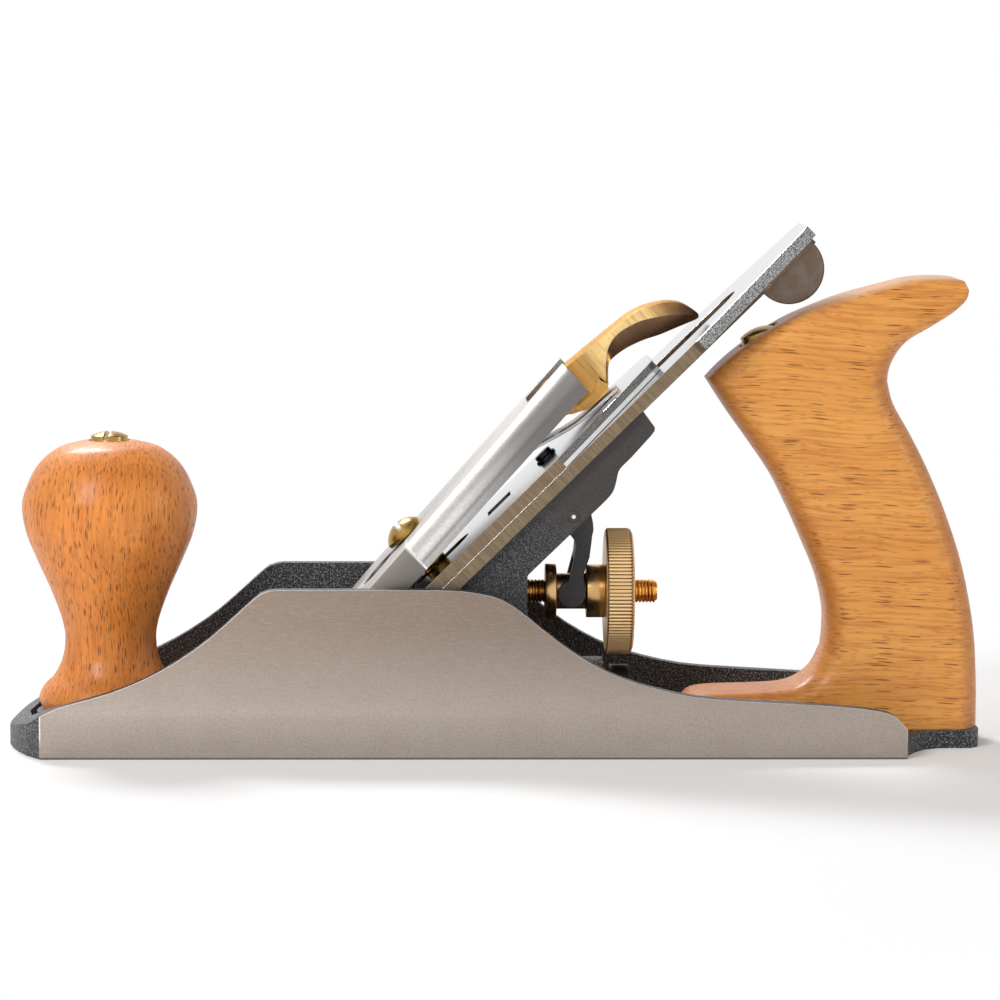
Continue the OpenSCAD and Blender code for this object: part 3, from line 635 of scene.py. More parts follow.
@dataclass(frozen=True)
class CutterSteel:
    """Bright ground faces, brown cross-ground sides and speckled grey sides on the taper."""

    name: str
    face: Colour = (0.86, 0.86, 0.865)
    side: Colour = (0.2, 0.145, 0.09)
    taper: Colour = (0.55, 0.545, 0.54)
    taper_dark: Colour = (0.05, 0.049, 0.047)
    streak: Colour = (0.35, 0.265, 0.175)
    # Colour of the painted highlight along the cap iron's lower edge.
    bright: Colour = (0.8, 0.8, 0.8)
    gap: Colour = (0.05, 0.05, 0.05)
    # Colour of the painted shade across the sides at the blade's shoulder.
    shoulder_shade: Colour = (0.1, 0.06, 0.035)
    tint: Colour = (0.86, 0.86, 0.87)
    speck_scale: float = 4000.0
    joint: float = -1.0
    shoulder: float = 0.0

    def material(self) -> Material:
        """Build the three-part finish.

        Returns:
            The material.
        """
        t = Tree.named(self.name)
        p, n = t.place(), t.facing()
        _, y, _ = t.split(p)
        u, w = t.on_bed(p)
        edge = abs(t.dot(n, BED_OUT)).under(0.35, 0.6)
        slanted = t.dot(n, BED_UP).over(0.12, 0.2) * edge
        lines = t.noise(t.join(u * 2300.0, y * 250.0, w * 150.0), 1.0, 2.0)
        speck = t.noise(p, self.speck_scale, 2.0, 0.7)
        brown = t.mix(lines.over(0.35, 0.75) * 0.55, self.side, self.streak)
        grey = t.mix(speck.over(0.4, 0.6), self.taper_dark, self.taper)
        if self.joint > 0.0:
            # bright is a painted highlight along the cap iron's lower edge, and gap the dark joint below it.
            bright = w.under((self.joint + 1.1) * MM, (self.joint + 1.4) * MM)
            dark = w.under((self.joint + 0.05) * MM, (self.joint + 0.25) * MM)
            grey = t.mix(dark, t.mix(bright, grey, self.bright), self.gap)
        tone = t.mix(edge, self.face, brown)
        tone = t.mix(slanted, tone, grey)
        if self.shoulder > 0.0:
            # Painted shade across the sides at the blade's shoulder.
            here = abs(u - self.shoulder * MM).under(0.5 * MM, 1.1 * MM)
            tone = t.mix(here * edge * 0.85, tone, self.shoulder_shade)
        return t.surface(
            Base_Color=tone, Metallic=1.0 - edge * 0.25, Roughness=0.16 + edge * 0.24,
            Specular_Tint=self.tint,
            Normal=t.bump(speck * slanted * 0.5 + lines * edge * 0.12, 0.1 * MM, 0.6))


# Mesh helpers


def bed(u: float, y: float, w: float) -> Vector:
    """Place on the bed.

    Args:
        u: distance up the bed, in mm.
        y: distance across, in mm.
        w: distance out of the bed, in mm.

    Returns:
        The point in metres.
    """
    return BED_START + (BED_UP * u + BED_OUT * w + Vector((0.0, y, 0.0))) * MM


def smooth_points(points: Sequence[Sequence[float]], steps: int) -> list[tuple[float, ...]]:
    """Catmull-Rom curve through given points.

    Args:
        points: the points, of any dimension.
        steps: samples per span.

    Returns:
        The samples, ends included.
    """
    made: list[tuple[float, ...]] = []
    last = len(points) - 1
    for i in range(last):
        a, b = points[max(i - 1, 0)], points[i]
        c, d = points[i + 1], points[min(i + 2, last)]
        for k in range(steps):
            s = k / steps
            made.append(tuple(
                0.5 * (2 * q + (r - p) * s + (2 * p - 5 * q + 4 * r - v) * s * s
                       + (3 * q - p - 3 * r + v) * s ** 3)
                for p, q, r, v in zip(a, b, c, d)))
    made.append(tuple(points[-1]))
    return made


def shaded(piece: Piece, sharp: float) -> None:
    """Shade a piece smooth between its sharp edges.

    Args:
        piece: the piece.
        sharp: edges sharper than this, in degrees, shade as edges.
    """
    piece.data.shade_smooth()
    piece.data.set_sharp_from_angle(angle=math.radians(sharp))


def new_piece(name: str, bm: bmesh.types.BMesh, sharp: float | None = None) -> Piece:
    """Turn a bmesh into an object at the origin.

    Args:
        name: the piece's name.
        bm: the mesh, freed here.
        sharp: edges sharper than this, in degrees, shade as edges; None shades flat.

    Returns:
        The object.
    """
    mesh = bpy.data.meshes.new(name)
    bm.to_mesh(mesh)
    bm.free()
    piece = bpy.data.objects.new(name, mesh)
    bpy.context.scene.collection.objects.link(piece)
    if sharp is not None:
        shaded(piece, sharp)
    return piece


def loft(rings: Sequence[Sequence[Vector]]) -> bmesh.types.BMesh:
    """Closed skin through equal rings, with flat ends.

    Args:
        rings: the rings in order, in metres.

    Returns:
        The mesh, with its faces outwards.
    """
    bm = bmesh.new()
    rows = [[bm.verts.new(p) for p in ring] for ring in rings]
    count = len(rows[0])
    for low, high in zip(rows, rows[1:]):
        for j in range(count):
            k = (j + 1) % count
            bm.faces.new((low[j], low[k], high[k], high[j]))
    bm.faces.new(rows[0])
    bm.faces.new(rows[-1])
    bmesh.ops.recalc_face_normals(bm, faces=bm.faces)
    return bm


def lathe(profile: Sequence[tuple[float, float]], turns: int,
          put: Callable[[float, float, float], Vector]) -> bmesh.types.BMesh:
    """Turned solid.

    Args:
        profile: radius and height pairs in mm; a radius of 0 closes an end.
        turns: points around.
        put: gives a place in metres from two cross distances and a height.

    Returns:
        The mesh, with its faces outwards.
    """
    bm = bmesh.new()
    rows: list[list[bmesh.types.BMVert]] = []
    for radius, height in profile:
        if radius <= 0.0:
            rows.append([bm.verts.new(put(0.0, 0.0, height))])
            continue
        rows.append([bm.verts.new(put(
            radius * math.cos(2 * math.pi * j / turns),
            radius * math.sin(2 * math.pi * j / turns), height)) for j in range(turns)])
    closed = len(rows[0]) > 1 and len(rows[-1]) > 1
    pairs = list(zip(rows, rows[1:])) + ([(rows[-1], rows[0])] if closed else [])
    for low, high in pairs:
        for j in range(turns):
            k = (j + 1) % turns
            ring = [low[j % len(low)], low[k % len(low)], high[k % len(high)], high[j % len(high)]]
            face = list(dict.fromkeys(ring))
            if len(face) > 2:
                bm.faces.new(face)
    bmesh.ops.recalc_face_normals(bm, faces=bm.faces)
    return bm


def applied(piece: Piece) -> None:
    """Make the evaluated mesh the piece's own, and drop its modifiers.

    Args:
        piece: the piece.
    """
    bpy.context.view_layer.update()
    graph = bpy.context.evaluated_depsgraph_get()
    mesh = bpy.data.meshes.new_from_object(piece.evaluated_get(graph))
    piece.modifiers.clear()
    piece.data = mesh


def eased(piece: Piece, width: float, segments: int, angle: float, sharp: float) -> Piece:
    """Ease a piece's sharp edges, then shade it.

    Args:
        piece: the piece.
        width: width of the eased edge, in mm.
        segments: facets across the eased edge.
        angle: edges sharper than this, in degrees, are eased.
        sharp: edges sharper than this, in degrees, shade as edges.

    Returns:
        The same piece.
    """
    made = piece.modifiers.new("ease", "BEVEL")
    made.width = width * MM
    made.segments = segments
    made.limit_method = "ANGLE"
    made.angle_limit = math.radians(angle)
    applied(piece)
    shaded(piece, sharp)
    return piece


def reshape(piece: Piece, tool: Piece, shaping: Shaping) -> None:
    """Cut a tool out of a piece or join it on, and delete the tool.

    Args:
        piece: the piece.
        tool: the solid.
        shaping: whether it joins or cuts.
    """
    made = piece.modifiers.new("shape", "BOOLEAN")
    made.operation = shaping.value
    made.solver = "EXACT"
    made.object = tool
    applied(piece)
    bpy.data.objects.remove(tool)


def dress(piece: Piece, body: str, slot: str, material: Material, *nodes: str) -> None:
    """Give a piece its finish, body and the CAD nodes it stands for.

    Args:
        piece: the piece.
        body: the CAD body that it rides on.
        slot: the record's material slot; not used.
        material: its material.
        nodes: the CAD nodes that it replaces.
    """
    piece.data.materials.clear()
    piece.data.materials.append(material)
    for polygon in piece.data.polygons:
        polygon.material_index = 0
    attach(piece, body)
    if nodes:
        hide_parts(*nodes)
    LOG.info("%s rides on %s, %d faces", piece.name, body, len(piece.data.polygons))


def dress_copy(node: str, body: str, slot: str, material: Material, width: float,
               segments: int = 2, sharp: float = 36.0) -> None:
    """Put a dressed copy of a CAD node, with its sharp edges eased, in the node's place.

    Args:
        node: the CAD node.
        body: the CAD body that it rides on.
        slot: the record's material slot.
        material: its material.
        width: width of the eased edge, in mm.
        segments: facets across the eased edge.
        sharp: edges sharper than this, in degrees, shade as edges.
    """
    bm = bmesh.new()
    bm.from_mesh(frame["nodes"][node].data)
    bmesh.ops.remove_doubles(bm, verts=bm.verts, dist=1e-6)
    bmesh.ops.dissolve_degenerate(bm, edges=bm.edges, dist=1e-7)
    bmesh.ops.dissolve_limit(bm, angle_limit=math.radians(0.4), verts=bm.verts, edges=bm.edges,
                             delimit={"NORMAL"})
    piece = eased(new_piece(f"{node}_dressed", bm), width, segments, angle=28.0, sharp=sharp)
    dress(piece, body, slot, material, node)


def finish_node(node: str, material: Material) -> None:
    """Give a CAD node that stays its material.

    Args:
        node: the CAD node.
        material: its material.
    """
    piece = frame["nodes"][node]
    piece.data.materials.clear()
    piece.data.materials.append(material)
    LOG.info("%s stays, with its finish", node)


# Repeated forms by geometry nodes


class NodeTool:
    """A geometry node tree with named inputs, used once on a new piece."""

    def __init__(self, name: str, inputs: dict[str, str]) -> None:
        """Make the tree with its named inputs.

        Args:
            name: the tree's name.
            inputs: socket types by input name.
        """
        self.tree = bpy.data.node_groups.new(name, "GeometryNodeTree")
        self.tree.interface.new_socket("Geometry", in_out="OUTPUT", socket_type="NodeSocketGeometry")
        self.ids = {key: self.tree.interface.new_socket(
            key, in_out="INPUT", socket_type=kind).identifier for key, kind in inputs.items()}
        self.given = self.tree.nodes.new("NodeGroupInput")
        self.result = self.tree.nodes.new("NodeGroupOutput")

    def add(self, kind: str, values: dict | None = None, **settings: object) -> bpy.types.Node:
        """Add a node.

        Args:
            kind: the node's type.
            values: values or links of its inputs.
            settings: its own settings, set first.

        Returns:
            The node.
        """
        made = self.tree.nodes.new(kind)
        for key, value in settings.items():
            setattr(made, key, value)
        for key, value in (values or {}).items():
            if isinstance(value, bpy.types.NodeSocket):
                self.tree.links.new(value, made.inputs[key])
            else:
                made.inputs[key].default_value = value
        return made

    def end(self, geometry: bpy.types.NodeSocket, material: bpy.types.NodeSocket) -> None:
        """Realize the instances and set the material.

        Args:
            geometry: the last geometry.
            material: the material input.
        """
        real = self.add("GeometryNodeRealizeInstances", {"Geometry": geometry})
        dressed = self.add("GeometryNodeSetMaterial", {"Geometry": real.outputs[0], "Material": material})
        self.tree.links.new(dressed.outputs[0], self.result.inputs[0])

    def run(self, name: str, values: dict[str, object], put: Matrix) -> Piece:
        """Run the tree and keep the result as a plain mesh.

        Args:
            name: the piece's name.
            values: the inputs' values by name.
            put: the place that is written into the mesh.

        Returns:
            The piece.
        """
        piece = bpy.data.objects.new(name, bpy.data.meshes.new(name))
        bpy.context.scene.collection.objects.link(piece)
        made = piece.modifiers.new("form", "NODES")
        made.node_group = self.tree
        for key, value in values.items():
            made[self.ids[key]] = value
        applied(piece)
        piece.data.transform(put)
        return piece


def knurl_tool() -> NodeTool:
    """Tree that sets ridges side by side around a rim.

    Returns:
        The tool.
    """
    tool = NodeTool("rim_knurl", {"Ridge": "NodeSocketObject", "Count": "NodeSocketInt",
                                  "Radius": "NodeSocketFloat", "Material": "NodeSocketMaterial"})
    given = tool.given.outputs
    rim = tool.add("GeometryNodeMeshCircle", {"Vertices": given["Count"], "Radius": given["Radius"]})
    ridge = tool.add("GeometryNodeObjectInfo", {"Object": given["Ridge"]})
    index = tool.add("GeometryNodeInputIndex")
    share = tool.add("ShaderNodeMath", {0: index.outputs[0], 1: given["Count"]}, operation="DIVIDE")
    turn = tool.add("ShaderNodeMath", {0: share.outputs[0], 1: 2 * math.pi}, operation="MULTIPLY")
    spin = tool.add("ShaderNodeCombineXYZ", {2: turn.outputs[0]})
    laid = tool.add("GeometryNodeInstanceOnPoints", {
        "Points": rim.outputs[0], "Instance": ridge.outputs["Geometry"], "Rotation": spin.outputs[0]})
    tool.end(laid.outputs[0], given["Material"])
    return tool


def thread_tool() -> NodeTool:
    """Tree that winds a thread's ridge.

    Returns:
        The tool.
    """
    tool = NodeTool("screw_thread", {
        "Turns": "NodeSocketFloat", "Length": "NodeSocketFloat", "Radius": "NodeSocketFloat",
        "Depth": "NodeSocketFloat", "Left": "NodeSocketBool", "Material": "NodeSocketMaterial"})
    given = tool.given.outputs
    path = tool.add("GeometryNodeCurveSpiral", {
        "Resolution": 40, "Rotations": given["Turns"], "Start Radius": given["Radius"],
        "End Radius": given["Radius"], "Height": given["Length"], "Reverse": given["Left"]})
    ridge = tool.add("GeometryNodeCurvePrimitiveCircle", {"Resolution": 4, "Radius": given["Depth"]})
    tube = tool.add("GeometryNodeCurveToMesh", {
        "Curve": path.outputs[0], "Profile Curve": ridge.outputs[0], "Fill Caps": True})
    tool.end(tube.outputs[0], given["Material"])
    return tool


@dataclass
class Threads:
    """Winds threads on the screws that show."""

    tool: NodeTool = field(default_factory=thread_tool)

    def wind(self, name: str, place: Matrix, length: float, radius: float, pitch: float,
             material: Material, left: bool = False) -> Piece:
        """Wind one thread.

        Args:
            name: the piece's name.
            place: where the thread's start and axis lie.
            length: its length in mm.
            radius: its crest radius in mm.
            pitch: its pitch in mm.
            material: its finish.
            left: True for a left-hand thread.

        Returns:
            The piece.
        """
        depth = 0.5 * pitch
        return self.tool.run(name, {
            "Turns": length / pitch, "Length": length * MM, "Radius": (radius - depth) * MM,
            "Depth": depth * MM, "Left": left, "Material": material}, place)


def axis_matrix(origin: Vector, along: Vector) -> Matrix:
    """Matrix that takes local z to an axis.

    Args:
        origin: where the axis starts, in metres.
        along: its direction.

    Returns:
        The matrix.
    """
    return Matrix.Translation(origin) @ along.to_track_quat("Z", "Y").to_matrix().to_4x4()


# The whole set of finishes


def finish(kind: type, *values: object, **more: object) -> Material:
    """Dataclass field that holds one built finish.

    Args:
        kind: the finish's class.
        values: its values by place.
        more: its values by name.

    Returns:
        The field, which gives the material.
    """
    return field(default_factory=lambda: kind(*values, **more).material())


@dataclass
class Finishes:
    """Every finish of the plane, built once."""

    iron: Material = finish(GroundIron)
    paint: Material = finish(BlackPaint)
    yoke_paint: Material = finish(
        BlackPaint, "yoke_paint", smooth=(0.048, 0.045, 0.045), smooth_from=-1.0, grain=0.25)
    knob_beech: Material = finish(
        Beech, "knob_beech", Grain.UPRIGHT, light=(0.9, 0.32, 0.062), deep=(0.68, 0.2, 0.028),
        top=(0.9, 0.32, 0.062), flecks=((5.0, 0.6, 0.8, 0.9), (2.6, 0.45, 0.6, 0.6)), burnish=0.4)
    # The tote's top colour is a painted reflection on its upturned top faces.
    tote_beech: Material = finish(
        Beech, "tote_beech", Grain.LENGTHWISE, light=(0.9, 0.41, 0.095), deep=(0.74, 0.28, 0.05),
        top=(0.6, 0.35, 0.2), flecks=((9.0, 0.62, 0.42, 0.9), (4.0, 0.45, 0.5, 0.45)))
    turned_brass: Material = finish(Brass, "turned_brass")
    thread_brass: Material = finish(
        Brass, "thread_brass", colour=(0.85, 0.45, 0.11), dull=(0.6, 0.28, 0.06))
    rim_brass: Material = finish(
        Brass, "rim_brass", colour=(1.0, 0.68, 0.33), dull=(0.86, 0.52, 0.23), roughness=0.32,
        metallic=0.4, rim=RIM_RADIUS)
    nut_brass: Material = finish(
        Brass, "nut_brass", colour=(0.42, 0.26, 0.075), dull=(0.22, 0.125, 0.035),
        line_axis=(0.0, 0.0, 1.0))
    cam_brass: Material = finish(CamBrass)
    steel: Material = finish(Steel, "bright_steel")
    dark_steel: Material = finish(Steel, "dark_steel", colour=(0.05, 0.05, 0.055), roughness=0.3)
    black_steel: Material = finish(
        Steel, "black_steel", colour=(0.022, 0.021, 0.021), roughness=0.42)
    satin: Material = finish(SatinCap)
    disc: Material = finish(
        RoundEnd, "disc_steel", up=174.9, out=-2.4, radius=8.6, inner=(0.24, 0.195, 0.16),
        outer=(0.1, 0.085, 0.075), stain=(0.16, 0.1, 0.06))
    # The pin's end is a painted glint: a white dot on dark steel.
    pin: Material = finish(
        RoundEnd, "pin_steel", up=92.4, out=-7.1, radius=0.42, inner=(0.9, 0.9, 0.9),
        outer=(0.07, 0.062, 0.057), stain=(0.8, 0.8, 0.8))
    blade: Material = finish(CutterSteel, "blade_steel", shoulder=144.6)
    cap_iron: Material = finish(
        CutterSteel, "cap_iron_steel", taper=(0.27, 0.265, 0.26), taper_dark=(0.085, 0.083, 0.082), joint=3.2)


# Sub-assemblies


@dataclass
class Body:
    """The casting with its wooden hand pieces and their fastenings."""

    looks: Finishes
    knob_x: float = -98.25
    knob_foot: float = 8.0
    knob_top: float = 77.4
    knob_facets: int = 128
    nut_radius: float = 4.9
    nut_sleeve: float = 3.6
    nut_recess: float = 5.6
    stud_hole: float = 2.9
    tote_half: float = 12.0
    tote_round: float = 8.5
    tote_nut_at: Triple = (67.8, 0.0, 103.5)
    tote_tilt: float = 20.4
    floor: float = 4.5

    def knob_profile(self) -> list[tuple[float, float]]:
        """Turned outline of the knob.

        Returns:
            Its radius and height pairs, in mm.
        """
        foot, top, hole = self.knob_foot, self.knob_top, self.nut_radius + 0.3
        curve = smooth_points([
            (17.1, foot), (18.1, 10.2), (18.3, 11.8), (16.9, 14.6), (14.3, 17.3), (12.4, 21.3), (11.75, 24.8),
            (11.75, 28.5), (12.9, 33.2), (15.4, 39.8), (18.6, 47), (21.2, 53.5), (22.3, 59.4), (21.7, 64),
            (18.5, 70.7), (13.5, 75.2), (8, top - 0.4), (5.4, top)], 8)
        return [(self.stud_hole, foot), *curve, (hole, top - 0.2), (hole, top - 2.2),
                (self.stud_hole, top - 2.2)]

    def rungs(self) -> list[tuple[float, ...]]:
        """Rungs across the tote, from its foot to its horn.

        Returns:
            The front's x, z and rounding, then the back's, for each rung.
        """
        foot = smooth_points([
            (48.2, 9.6, 0.3, 46.8, -1, 0.3), (50.6, 12.2, 0.3, 50, -1, 0.3), (55.5, 13.2, 0.32, 57, -1, 0.3),
            (66.9, 13.6, 0.35, 71, -1, 0.3), (74, 14.2, 0.42, 84, -1, 0.35), (78.4, 15.9, 0.55, 97, -1, 0.45),
            (81.9, 19.3, 0.8, 111, -1, 0.65), (84.3, 24.6, 0.95, 123.8, -1, 0.9)], 6)
        grip = smooth_points([
            (84.3, 24.6, 0.95, 123.8, -1, 0.9), (84.7, 29.6, 1, 123.9, 6, 0.95), (84.5, 35, 1, 123.9, 15, 1),
            (82.6, 43, 1, 123, 29.5, 1), (78.9, 51.9, 1, 119.9, 45.5, 1), (75.3, 59.9, 1, 115.4, 59.3, 1),
            (70.8, 68.8, 1, 110.6, 70.6, 1), (65.4, 76.8, 1, 106.1, 79.4, 1), (59.1, 85.6, 1, 101.7, 87.2, 1),
            (54, 93.5, 0.8, 100.1, 93, 1)], 8)
        horn = smooth_points([
            (54, 93.5, 0.8, 100.1, 93, 1), (56.5, 96.2, 0.75, 100.2, 94.6, 1),
            (61, 100.2, 0.7, 100.5, 96.4, 0.95), (67, 104.6, 0.7, 101.1, 98.2, 0.9),
            (75, 109.3, 0.7, 102.2, 100.3, 0.85),
            (84.6, 113.4, 0.7, 103.9, 102.5, 0.8), (90.7, 115.4, 0.65, 105.9, 104.2, 0.75),
            (99.9, 117.8, 0.55, 109.2, 106.2, 0.65), (105.5, 119.1, 0.5, 112, 108, 0.55),
            (111.2, 119.5, 0.38, 115.8, 110.6, 0.4), (116.6, 119.3, 0.28, 119, 113.8, 0.28),
            (118.4, 118.9, 0.14, 119.7, 116.3, 0.14)], 6)
        return foot + grip[1:-1] + horn

    def section(self, rung: tuple[float, ...]) -> list[Vector]:
        """Rounded section of the tote.

        Args:
            rung: its rung.

        Returns:
            The section's ring, in metres.
        """
        ax, az, af, bx, bz, bf = rung
        span = math.hypot(bx - ax, bz - az)
        ex, ez = (bx - ax) / span, (bz - az) / span
        half, ra, rb = self.tote_half, af * self.tote_round, bf * self.tote_round
        turns = [math.radians(a) for a in range(0, 91, 10)]
        back = [(span - rb + rb * math.sin(a), half - rb + rb * math.cos(a)) for a in turns]
        front = [(ra - ra * math.cos(a), half - ra + ra * math.sin(a)) for a in turns]
        ring = back + [(s, -y) for s, y in reversed(back)] + [(s, -y) for s, y in reversed(front)] + front
        return [Vector((ax + ex * s, y, az + ez * s)) * MM for s, y in ring]

    def make_tote(self) -> Piece:
        """Loft the tote, cut its foot flat and sink the nut's recess.

        Returns:
            The tote.
        """
        bm = loft([self.section(r) for r in self.rungs()])
        cut = bmesh.ops.bisect_plane(
            bm, geom=bm.verts[:] + bm.edges[:] + bm.faces[:], dist=1e-7,
            plane_co=(0, 0, self.floor * MM), plane_no=(0, 0, -1), clear_outer=True)
        edges = [e for e in cut["geom_cut"] if isinstance(e, bmesh.types.BMEdge)]
        bmesh.ops.holes_fill(bm, edges=edges, sides=0)
        bmesh.ops.recalc_face_normals(bm, faces=bm.faces)
        tote = new_piece("tote", bm)
        tilt = math.radians(self.tote_tilt)
        place = axis_matrix(Vector(self.tote_nut_at) * MM, Vector((-math.sin(tilt), 0.0, math.cos(tilt))))
        hole, sleeve, recess = self.stud_hole, self.nut_sleeve, self.nut_recess
        drill = lathe([(0, -120), (hole, -120), (hole, -16), (sleeve, -16), (sleeve, -0.8), (recess, -0.8),
                       (recess, 20), (0, 20)], FACETS, lambda a, b, h: place @ (Vector((a, b, h)) * MM))
        reshape(tote, new_piece("drill", drill), Shaping.CUT)
        shaded(tote, 50.0)
        return tote

    def build(self) -> None:
        """Build and dress the whole body."""
        looks = self.looks
        dress_copy("body_casting", "plane_body", "ground_iron", looks.iron, 0.45)
        knob = new_piece("knob", lathe(self.knob_profile(), self.knob_facets, lambda a, b, h: Vector(
            (self.knob_x + a, b, h)) * MM), sharp=50.0)
        dress(knob, "plane_body", "beech", looks.knob_beech, "front_knob")
        dress(self.make_tote(), "plane_body", "beech", looks.tote_beech, "rear_tote")
        for node in ("knob_nut", "tote_nut"):
            dress_copy(node, "plane_body", "brass", looks.nut_brass, 0.15)
        for node in ("knob_stud", "tote_stud"):
            finish_node(node, looks.steel)
        dress_copy("frog_fixing_screws", "plane_body", "dark_steel", looks.dark_steel, 0.2)
        dress_copy("frog_washers", "plane_body", "steel", looks.steel, 0.15)


@dataclass
class Frog:
    """The frog with what is fixed to it."""

    looks: Finishes
    threads: Threads
    screw_u: float = 57.5
    screw_radius: float = 3.45
    thread_from: float = 6.6
    thread_length: float = 5.5
    thread_pitch: float = 0.9

    def build(self) -> None:
        """Build and dress the frog's pieces."""
        looks = self.looks
        dress_copy("frog_casting", "frog", "black_paint", looks.paint, 0.7, segments=3)
        dress_copy("frog_adjusting_clip", "frog", "steel", looks.black_steel, 0.2)
        dress_copy("frog_clip_screw", "frog", "dark_steel", looks.dark_steel, 0.15)
        dress_copy("frog_adjusting_screw", "frog_adjuster", "steel", looks.black_steel, 0.2)
        dress_copy("yoke_pin", "frog", "steel", looks.pin, 0.12)
        dress_copy("lateral_rivet", "frog", "steel", looks.steel, 0.2)
        dress_copy("lever_cap_screw", "frog", "brass", looks.nut_brass, 0.15)
        thread = self.threads.wind(
            "lever_cap_screw_thread", axis_matrix(bed(self.screw_u, 0, self.thread_from), BED_OUT),
            self.thread_length, self.screw_radius + 0.25, self.thread_pitch, looks.thread_brass)
        dress(thread, "frog", "brass", looks.thread_brass)


@dataclass
class DepthAdjuster:
    """Stud, spool, knurled wheel and yoke."""

    looks: Finishes
    threads: Threads
    stud_radius: float = 3.05
    stud_end: float = 41.9
    thread_from: float = 7.0
    thread_length: float = 34.4
    thread_pitch: float = 0.88
    wheel_start: float = 28.5
    wheel_width: float = 7.0
    wheel_bore: float = 4.85
    wheel_facets: int = 160
    rim_radius: float = RIM_RADIUS
    ridge_radius: float = 0.46
    ridges: int = 106

    def along(self, a: float, b: float, h: float) -> Vector:
        """Place about the adjuster's axis."""
        return Vector((h, a, STUD_Z + b)) * MM

    def make_stud(self) -> Piece:
        """Turn the stud's core."""
        core, end = self.stud_radius - 0.45, self.stud_end
        return new_piece("adjuster_stud_core", lathe([
            (0, 0.2), (core, 0.2), (core, end - 0.5), (core - 0.4, end), (0, end)],
            FACETS, self.along), sharp=40.0)

    def make_wheel(self) -> Piece:
        """Turn the wheel's body, with a shallow dish on its faces.

        Returns:
            The wheel's body.
        """
        x0, x1 = self.wheel_start, self.wheel_start + self.wheel_width
        rim, bore = self.rim_radius, self.wheel_bore
        return new_piece("adjuster_wheel_body", lathe([
            (bore, x0 + 0.1), (13.4, x0 + 0.1), (13.8, x0), (15.2, x0), (rim, x0 + 0.45), (rim, x1 - 1.1),
            (rim - 0.35, x1 - 0.5), (rim - 0.95, x1), (13.6, x1), (13.2, x1 - 0.1), (bore, x1 - 0.1)],
            self.wheel_facets, self.along), sharp=30.0)

    def make_ridge(self) -> Piece:
        """One ridge of the rim, lying along the axis.

        Returns:
            The ridge; each of its rings has a place along it, a size and a sink.
        """
        r, turns = self.ridge_radius, [math.radians(a) for a in (-150, -90, -45, 0, 45, 90, 150)]
        rings = ((0.15, 0.55, 0.35), (0.5, 1.0, 0.0), (5.65, 1.0, 0.0), (6.35, 0.9, 0.2), (6.85, 0.35, 0.75))
        return new_piece("ridge", loft([[Vector((
            r * size * math.cos(a) - sink, r * size * math.sin(a), self.wheel_start + h)) * MM for a in turns]
            for h, size, sink in rings]))

    def build(self) -> None:
        """Build and dress the adjuster."""
        looks = self.looks
        dress(self.make_stud(), "frog", "brass", looks.thread_brass, "adjuster_stud")
        thread = self.threads.wind(
            "adjuster_stud_thread", axis_matrix(self.along(0.0, 0.0, self.thread_from), Vector((1, 0, 0))),
            self.thread_length, self.stud_radius, self.thread_pitch, looks.thread_brass,
            left=True)
        dress(thread, "frog", "brass", looks.thread_brass)
        dress_copy("adjuster_spool", "spool", "brass", looks.turned_brass, 0.25)
        dress(self.make_wheel(), "wheel", "brass", looks.rim_brass, "adjuster_wheel")
        ridge = self.make_ridge()
        turn = Matrix.Translation(Vector((0.0, 0.0, STUD_Z * MM))) @ Matrix(
            ((0, 0, 1, 0), (1, 0, 0, 0), (0, 1, 0, 0), (0, 0, 0, 1)))
        knurl = knurl_tool().run("adjuster_wheel_knurl", {
            "Ridge": ridge, "Count": self.ridges, "Radius": self.rim_radius * MM,
            "Material": looks.rim_brass}, turn)
        bpy.data.objects.remove(ridge)
        dress(knurl, "wheel", "brass", looks.rim_brass)
        dress_copy("yoke", "yoke", "black_paint", looks.yoke_paint, 0.45, segments=3)


@dataclass
class Cutter:
    """Blade, cap iron and the screw that joins them."""

    looks: Finishes

    def build(self) -> None:
        """Build and dress the cutter."""
        looks = self.looks
        dress_copy("blade", "cutter", "cutter_steel", looks.blade, 0.12, sharp=12.0)
        dress_copy("cap_iron", "cutter", "cutter_steel", looks.cap_iron, 0.15, sharp=12.0)
        dress_copy("cap_iron_screw", "cutter", "dark_steel", looks.dark_steel, 0.25)


@dataclass
class LateralAdjuster:
    """Lateral lever and its roller."""

    looks: Finishes

    def build(self) -> None:
        """Build and dress the lateral adjuster."""
        dress_copy("lateral_lever", "lateral", "steel", self.looks.disc, 0.25)
        dress_copy("lateral_roller", "roller", "steel", self.looks.steel, 0.25)


